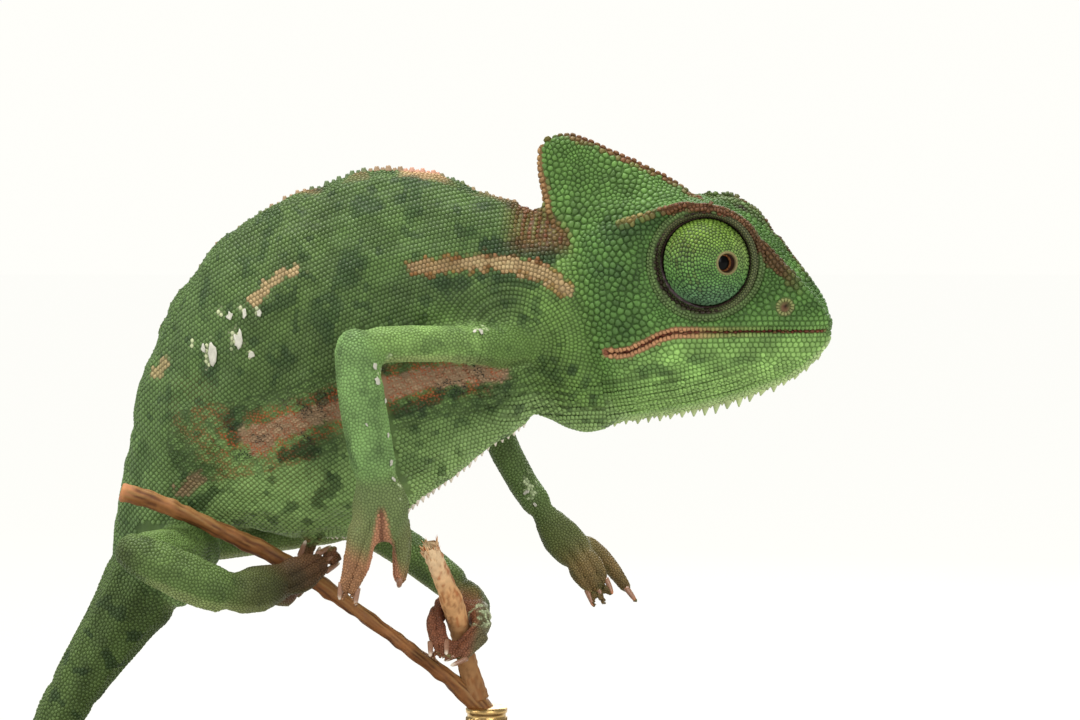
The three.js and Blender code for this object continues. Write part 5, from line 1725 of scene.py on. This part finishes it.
# %% A branch and its surface
# Rows of x, y, z and radius.
TWIG = [
    (-35.8, -5.1, 69.0, 1.3), (-32.5, -4.6, 68.0, 1.15), (-28.9, -4.0, 66.5, 1.05), (-25.3, -3.0, 64.7, 1.05),
    (-21.8, -1.5, 62.8, 1.1), (-18.2, 0.0, 60.9, 1.15), (-11.8, 1.5, 56.7, 1.15), (-5.2, 2.5, 51.8, 0.95),
    (1.8, 3.4, 46.4, 1.0), (4.7, 3.8, 44.1, 1.1), (7.5, 4.0, 41.6, 1.35), (9.6, 4.2, 39.3, 1.4),
    (11.8, 4.4, 36.4, 1.4),
]
TWIG_STUB = [
    (8.2, 4.1, 41.6, 1.5), (7.1, 3.8, 45.0, 1.4), (6.1, 2.2, 49.5, 1.3), (5.2, -0.6, 54.0, 1.5),
    (3.9, -2.8, 57.8, 1.3), (2.2, -4.4, 62.4, 1.4),
]


def branch(table, step, sides, thin):
    """Path, run along it, points, directions round it, run at each point, faces."""
    rows = measured(table)
    run = np.arange(0.0, rows[-1, 0] + step / 2, step).clip(0, rows[-1, 0])
    path = np.stack([along(rows, run, k) for k in (1, 2, 3)], 1)
    rings, faces = tube(path, along(rows, run, 4) - thin, sides)
    out = unit(rings - path[:, None])
    return path, run, rings.reshape(-1, 3), out.reshape(-1, 3), np.repeat(run, sides), faces


# %% Bark
# Place along the twig and height of its knots.
KNOTS = [(6.5, 0.22), (17.0, 0.16), (29.5, 0.2), (40.5, 0.24)]

_, run, flat, out, length, faces = branch(TWIG, 0.3, 28, 0.1)
# the pattern is drawn long: places along the branch count for little, directions for much
grain = out * 1.1 + length[:, None] * (0.05, 0.04, 0.06)
ridges = mottle(grain, 0.5, 101)
rise = 0.05 * ridges + 0.05 * mottle(flat, 2.2, 102)
for knot, size in KNOTS:
    facing_knot = ease(out @ unit(np.array([math.sin(knot), -0.8, math.cos(knot)])), 0.2, 0.9)
    rise = rise + size * bump(length - knot, 0.7) * facing_knot
ends = ease(-length, -0.35, 0) + ease(length, run[-1] - 0.35, run[-1])
flat = flat + out * (np.clip(rise, -0.12, 0.3) * (1 - ends) - 0.18 * ends)[:, None]
# painted light: the bark is lighter where it faces up and towards the front
top_lit = ease(out[:, 2] - 0.4 * out[:, 1] + 0.4 * ridges, 0.2, 1.3)
bark_hue = mix(srgb(132, 84, 44), srgb(160, 122, 72), top_lit * 0.7)
# dark streaks in the furrows between ridges, deepened on the underside as painted shade
bark_hue = mix(bark_hue, srgb(78, 42, 20), 0.8 * ease(-ridges - 0.6 * out[:, 2], 0.3, 1.4))
bark_hue = mix(bark_hue, srgb(168, 112, 66), 0.5 * ease(mottle(flat, 5, 103), 0.6, 1.4))
bark_hue = mix(bark_hue, srgb(190, 128, 84), 0.7 * ease(-length - 0.3 * ridges, -1.6, -0.5))
bark_finish = painted("bark", 1600, 0.5, 0.62, 0.6, Specular_IOR_Level=0.3)
painted_piece("twig_bark", [(flat, faces, bark_hue)], bark_finish, "bark", ("twig_main",))

# %% The peeled stub
STUB_STEP, STUB_SIDES = 0.24, 30
FRAYED_LENGTH = 7.0

path, run, flat, out, length, faces = branch(TWIG_STUB, STUB_STEP, STUB_SIDES, 0.12)
grain = out * 1.1 + length[:, None] * (0.09, 0.07, 0.08)
fibres = mottle(grain, 0.42, 111) + 0.5 * mottle(flat, 0.9, 112)
frayed = ease(length, run[-1] - FRAYED_LENGTH - 0.5, run[-1] - 1.0)
rise = 0.06 * fibres + frayed * (0.12 * mottle(grain * (1, 1, 1.4), 0.3, 113) - 0.16)
collar = 0.16 * bump(length - 15.2, 0.7)
flat = flat + out * np.clip(rise + collar, -0.4, 0.11)[:, None]
flat[-STUB_SIDES:] += (path[-1] - path[-2]) * (1.2 * mottle(out[-STUB_SIDES:], 0.9, 114) - 1.4)[:, None]
wood = mix(srgb(206, 158, 108), srgb(232, 204, 164), 0.8 * frayed)
wood = mix(wood, srgb(158, 88, 46), 0.75 * ease(fibres + 0.5 * mottle(flat, 2.4, 115), 0.7, 1.7))
wood = mix(wood, srgb(118, 64, 36), 0.5 * ease(-fibres, 0.9, 1.8))
wood = mix(wood, srgb(122, 84, 48), 0.7 * ease(-length, -13.5, -9))
peeled_finish = painted("peeled wood", 1500, 0.45, 0.7, 0.7, Specular_IOR_Level=0.2)
painted_piece("stub_wood", [(flat, faces, wood)], peeled_finish, "peeled_wood", ("twig_stub",))

# %% Splinters
# They stand round the frayed end, on the same kind of node tree as the crests.
SPLINTERS = 90
chips = np.random.default_rng(31)
turn, back = chips.uniform(0, TURN, SPLINTERS), chips.uniform(0, 1, SPLINTERS) ** 1.6 * FRAYED_LENGTH
spot = np.clip(((run[-1] - back) / STUB_STEP).astype(int), 0, len(path) - 1)
side = out.reshape(-1, STUB_SIDES, 3)[spot, (turn / (2 * math.pi) * STUB_SIDES).astype(int)]
heading = unit(path[-1] - path[-8])
points = path[spot] + side * (along(measured(TWIG_STUB), run[spot], 4) - 0.42)[:, None]
ways = heading + side * chips.uniform(0.1, 0.45, (SPLINTERS, 1)) + chips.normal(0, 0.1, (SPLINTERS, 3))
widths = chips.uniform(0.07, 0.16, SPLINTERS)
heights = chips.uniform(0.5, 1.3, SPLINTERS) * np.where(back < 1.5, 1, 0.55)
hues = mix(srgb(228, 196, 152), srgb(176, 104, 58), chips.uniform(0, 1, SPLINTERS) ** 2)
splinters = (points, unit(ways), np.stack([widths, heights], 1), hues)
cones("splinters", row_of_cones(peeled_finish), *splinters, "peeled_wood", sides=5, tip=0.1)

# %% [markdown]
# ## The stand
# The twig is held by a brass cup on a rod, screwed through a turned flange into a dark
# wooden plate with a moulded edge. Round things are lathed: a profile of radius and
# height is turned about the rod. The plate's moulding is a profile too, swept round a
# rounded rectangle.

# %% Lathe and moulded plate
ROD_PLACE = (9.2, 4.15)


def capped(rings, centre):
    """A closed solid from level rings of points, with a middle point for both ends."""
    steps, sides, top = len(rings), len(rings[0]), (len(rings) - 1) * len(rings[0])
    ends = [(*centre, rings[0][0][2]), (*centre, rings[-1][0][2])]
    points, faces = np.concatenate([*rings, ends]), walls(steps, sides)
    for s in range(sides):
        faces += [(len(points) - 2, (s + 1) % sides, s), (len(points) - 1, top + s, top + (s + 1) % sides)]
    return points, np.array(faces), (1.0, 1.0, 1.0)


def lathe(profile, sides=48, ripple=None, centre=ROD_PLACE):
    """A closed turned solid from rows of radius and height, both ends on the axis."""
    turns, rings = round_turns(sides), []
    for radius, height in profile:
        radius = radius + (ripple(turns, height) if ripple else 0 * turns)
        x, y = centre[0] + radius * np.cos(turns), centre[1] + radius * np.sin(turns)
        rings.append(np.stack([x, y, 0 * turns + height], 1))
    return capped(rings, centre)


def moulded_plate(profile, length, depth, corner, steps=10):
    """A rounded rectangle swept up a profile of inset and height."""
    rings = []
    for inset, height in profile:
        r = corner - inset
        w, d = length / 2 - inset - r, depth / 2 - inset - r
        spots = []
        for x, y, start in ((w, d, 0), (-w, d, 90), (-w, -d, 180), (w, -d, 270)):
            turn = np.radians(start + np.linspace(0, 90, steps))
            spots += list(zip(x + r * np.cos(turn), y + r * np.sin(turn)))
        rings.append(np.column_stack([spots, np.full(len(spots), height)]))
    return capped(rings, (0, 0))


# %% Scratches and dull patches
wear_group, given, taken = node_group(
    "wear", "ShaderNodeTree", {"Fine Size": ("Float", 900.0)}, {"Wear": ("Float",)}
)
at_place = (node(wear_group, "ShaderNodeTexCoord").outputs["Object"], "Vector")
wide_size = node(wear_group, "ShaderNodeMath", [(given["Fine Size"], 0)], operation="DIVIDE")
wide_size.inputs[1].default_value = 14
fine = node(wear_group, "ShaderNodeTexNoise", [at_place, (given["Fine Size"], "Scale")], Detail=6.0)
wide = node(wear_group, "ShaderNodeTexNoise", [at_place, (wide_size.outputs[0], "Scale")], Detail=3.0)
both = [(fine.outputs["Fac"], 0), (wide.outputs["Fac"], 1)]
both = node(wear_group, "ShaderNodeMath", both, operation="MULTIPLY")
wear_group.links.new(both.outputs[0], taken["Wear"])


def worn(tree, fine_size):
    """Fine scratches and dull patches, as one mask."""
    return node(tree, "ShaderNodeGroup", node_tree=wear_group, Fine_Size=fine_size).outputs[0]


def ramp(tree, mask, dark, light, low=0.0, high=1.0):
    """Two colours, and where on the mask each begins."""
    made = node(tree, "ShaderNodeValToRGB", [(mask, "Fac")])
    for stop, place, colour in zip(made.color_ramp.elements, (low, high), (dark, light)):
        stop.position, stop.color = place, (*colour, 1)
    return made.outputs["Color"]


def ranged(tree, mask, low, high, to_low, to_high):
    """A stretch of the mask, laid over another range of values."""
    values = {"From_Min": low, "From_Max": high, "To_Min": to_low, "To_Max": to_high}
    return node(tree, "ShaderNodeMapRange", [(mask, "Value")], **values).outputs[0]


# %% Stained wood
stained, tree, shader = fresh_material("stained wood", Coat_Weight=0.25, Coat_Roughness=0.18)
place = node(tree, "ShaderNodeTexCoord").outputs["Object"]
stretch = node(tree, "ShaderNodeMapping", [(place, "Vector")], Scale=(14, 150, 150))
at_place = [(stretch.outputs[0], "Vector")]
rings_of = node(tree, "ShaderNodeTexNoise", at_place, Scale=1.0, Detail=5.0, Distortion=0.6)
pores = node(tree, "ShaderNodeTexNoise", at_place, Scale=14.0, Detail=2.0)
tone = ramp(tree, rings_of.outputs["Fac"], (0.028, 0.013, 0.007), (0.115, 0.052, 0.024), 0.36, 0.66)
dark_pores = ranged(tree, pores.outputs["Fac"], 0.38, 0.5, 0.45, 1.0)
shaded = node(tree, "ShaderNodeVectorMath", [(tone, 0), (dark_pores, "Scale")], operation="SCALE")
relief = node(tree, "ShaderNodeBump", [(pores.outputs["Fac"], "Height")], Strength=0.25, Distance=0.0001)
tree.links.new(shaded.outputs[0], shader["Base Color"])
tree.links.new(ranged(tree, worn(tree, 900.0), 0.1, 0.4, 0.3, 0.48), shader["Roughness"])
tree.links.new(relief.outputs["Normal"], shader["Normal"])

# %% Brass and felt
satin, tree, shader = fresh_material("satin brass", Metallic=1.0)
wear = worn(tree, 2600.0)
tree.links.new(ramp(tree, wear, (0.52, 0.33, 0.12), (0.8, 0.58, 0.27), 0.12, 0.42), shader["Base Color"])
tree.links.new(ranged(tree, wear, 0.1, 0.45, 0.38, 0.22), shader["Roughness"])

felt, tree, shader = fresh_material("green felt", Roughness=0.95)
tone = ramp(tree, worn(tree, 5200.0), (0.01, 0.02, 0.012), (0.03, 0.055, 0.035))
tree.links.new(tone, shader["Base Color"])
print("materials:", [m.name for m in bpy.data.materials])

# %% The stand's pieces
PLATE_SIZE, PLATE_CORNER = (132, 84), 14
FELT_SPREAD = (52, 29)
# Inset and height.
PLATE = [
    (3.2, 0.5), (1.6, 0.5), (0.9, 0.75), (0.45, 1.3), (0.3, 2.0), (0.3, 4.6), (0.45, 5.2), (0.95, 5.6),
    (1.1, 5.75), (1.25, 6.1), (1.5, 6.9), (2.1, 7.6), (3.0, 8.1), (3.5, 8.3), (3.7, 8.55), (3.95, 8.8),
    (4.5, 8.95), (6.0, 8.98),
]
# Radius and height.
FELT = [(4.2, 0.0), (4.7, 0.15), (4.7, 0.52), (4.2, 0.6)]
FLANGE = [
    (4.0, 8.95), (4.18, 9.2), (4.18, 9.75), (4.0, 10.0), (3.6, 10.1), (3.4, 10.2), (3.3, 10.5), (2.9, 10.85),
    (2.3, 11.1), (1.9, 11.2),
]
ROD = [
    (1.46, 11.0), (1.46, 12.0), (1.5, 12.2), (1.38, 12.4), (1.38, 33.6), (1.5, 33.8), (1.5, 34.6),
    (1.38, 34.8), (1.38, 36.3),
]
CUP = [
    (1.6, 35.9), (1.9, 36.15), (2.3, 36.5), (2.45, 36.9), (2.6, 37.0), (2.6, 39.3), (2.45, 39.4),
    (2.45, 39.8), (2.62, 40.0), (2.66, 40.4), (2.45, 40.65), (2.2, 40.68),
]
KNURL_FROM, KNURL_TO, KNURL_DEPTH, KNURLS = 36.98, 39.32, 0.055, 30


def knurl(turns, height):
    """Notches cut round the cup's band."""
    return KNURL_DEPTH * np.sign(np.sin(turns * KNURLS)) * (KNURL_FROM < height < KNURL_TO)


plate_parts = [moulded_plate(PLATE, *PLATE_SIZE, PLATE_CORNER)]
base_piece = painted_piece("plate", plate_parts, stained, "base_wood", ("stand_base",))
corners = [(x * FELT_SPREAD[0], y * FELT_SPREAD[1]) for x in (-1, 1) for y in (-1, 1)]
painted_piece("felt_pads", [lathe(FELT, 24, centre=corner) for corner in corners], felt, "base_wood")
brass_piece = painted_piece(
    "brass_upright", [lathe(FLANGE, 56), lathe(ROD, 32), lathe(CUP, 120, knurl)], satin, "rod_brass",
    ("stand_flange", "stand_rod", "stand_cup"),
)
for piece in (base_piece, brass_piece):
    heights = [v.co.z for v in piece.data.vertices]
    print(piece.name, "from", min(heights), "to", max(heights))

# %% Floor
FLOOR = 4000
floor_mesh = mesh_from(
    "floor", [(x * FLOOR, y * FLOOR, 0) for x, y in ((-1, -1), (1, -1), (1, 1), (-1, 1))],
    np.array([(0, 1, 2), (0, 2, 3)]),
)
floor = added("floor", floor_mesh)
floor_finish, _, shader = fresh_material("pale floor", Roughness=0.9, Specular_IOR_Level=0.0)
shader["Base Color"].default_value = (0.06, 0.06, 0.058, 1)
shader["Emission Color"].default_value = (1, 0.995, 0.955, 1)
shader["Emission Strength"].default_value = 0.968
floor_mesh.materials.append(floor_finish)
print("floor", 2 * FLOOR * MM, "m wide")
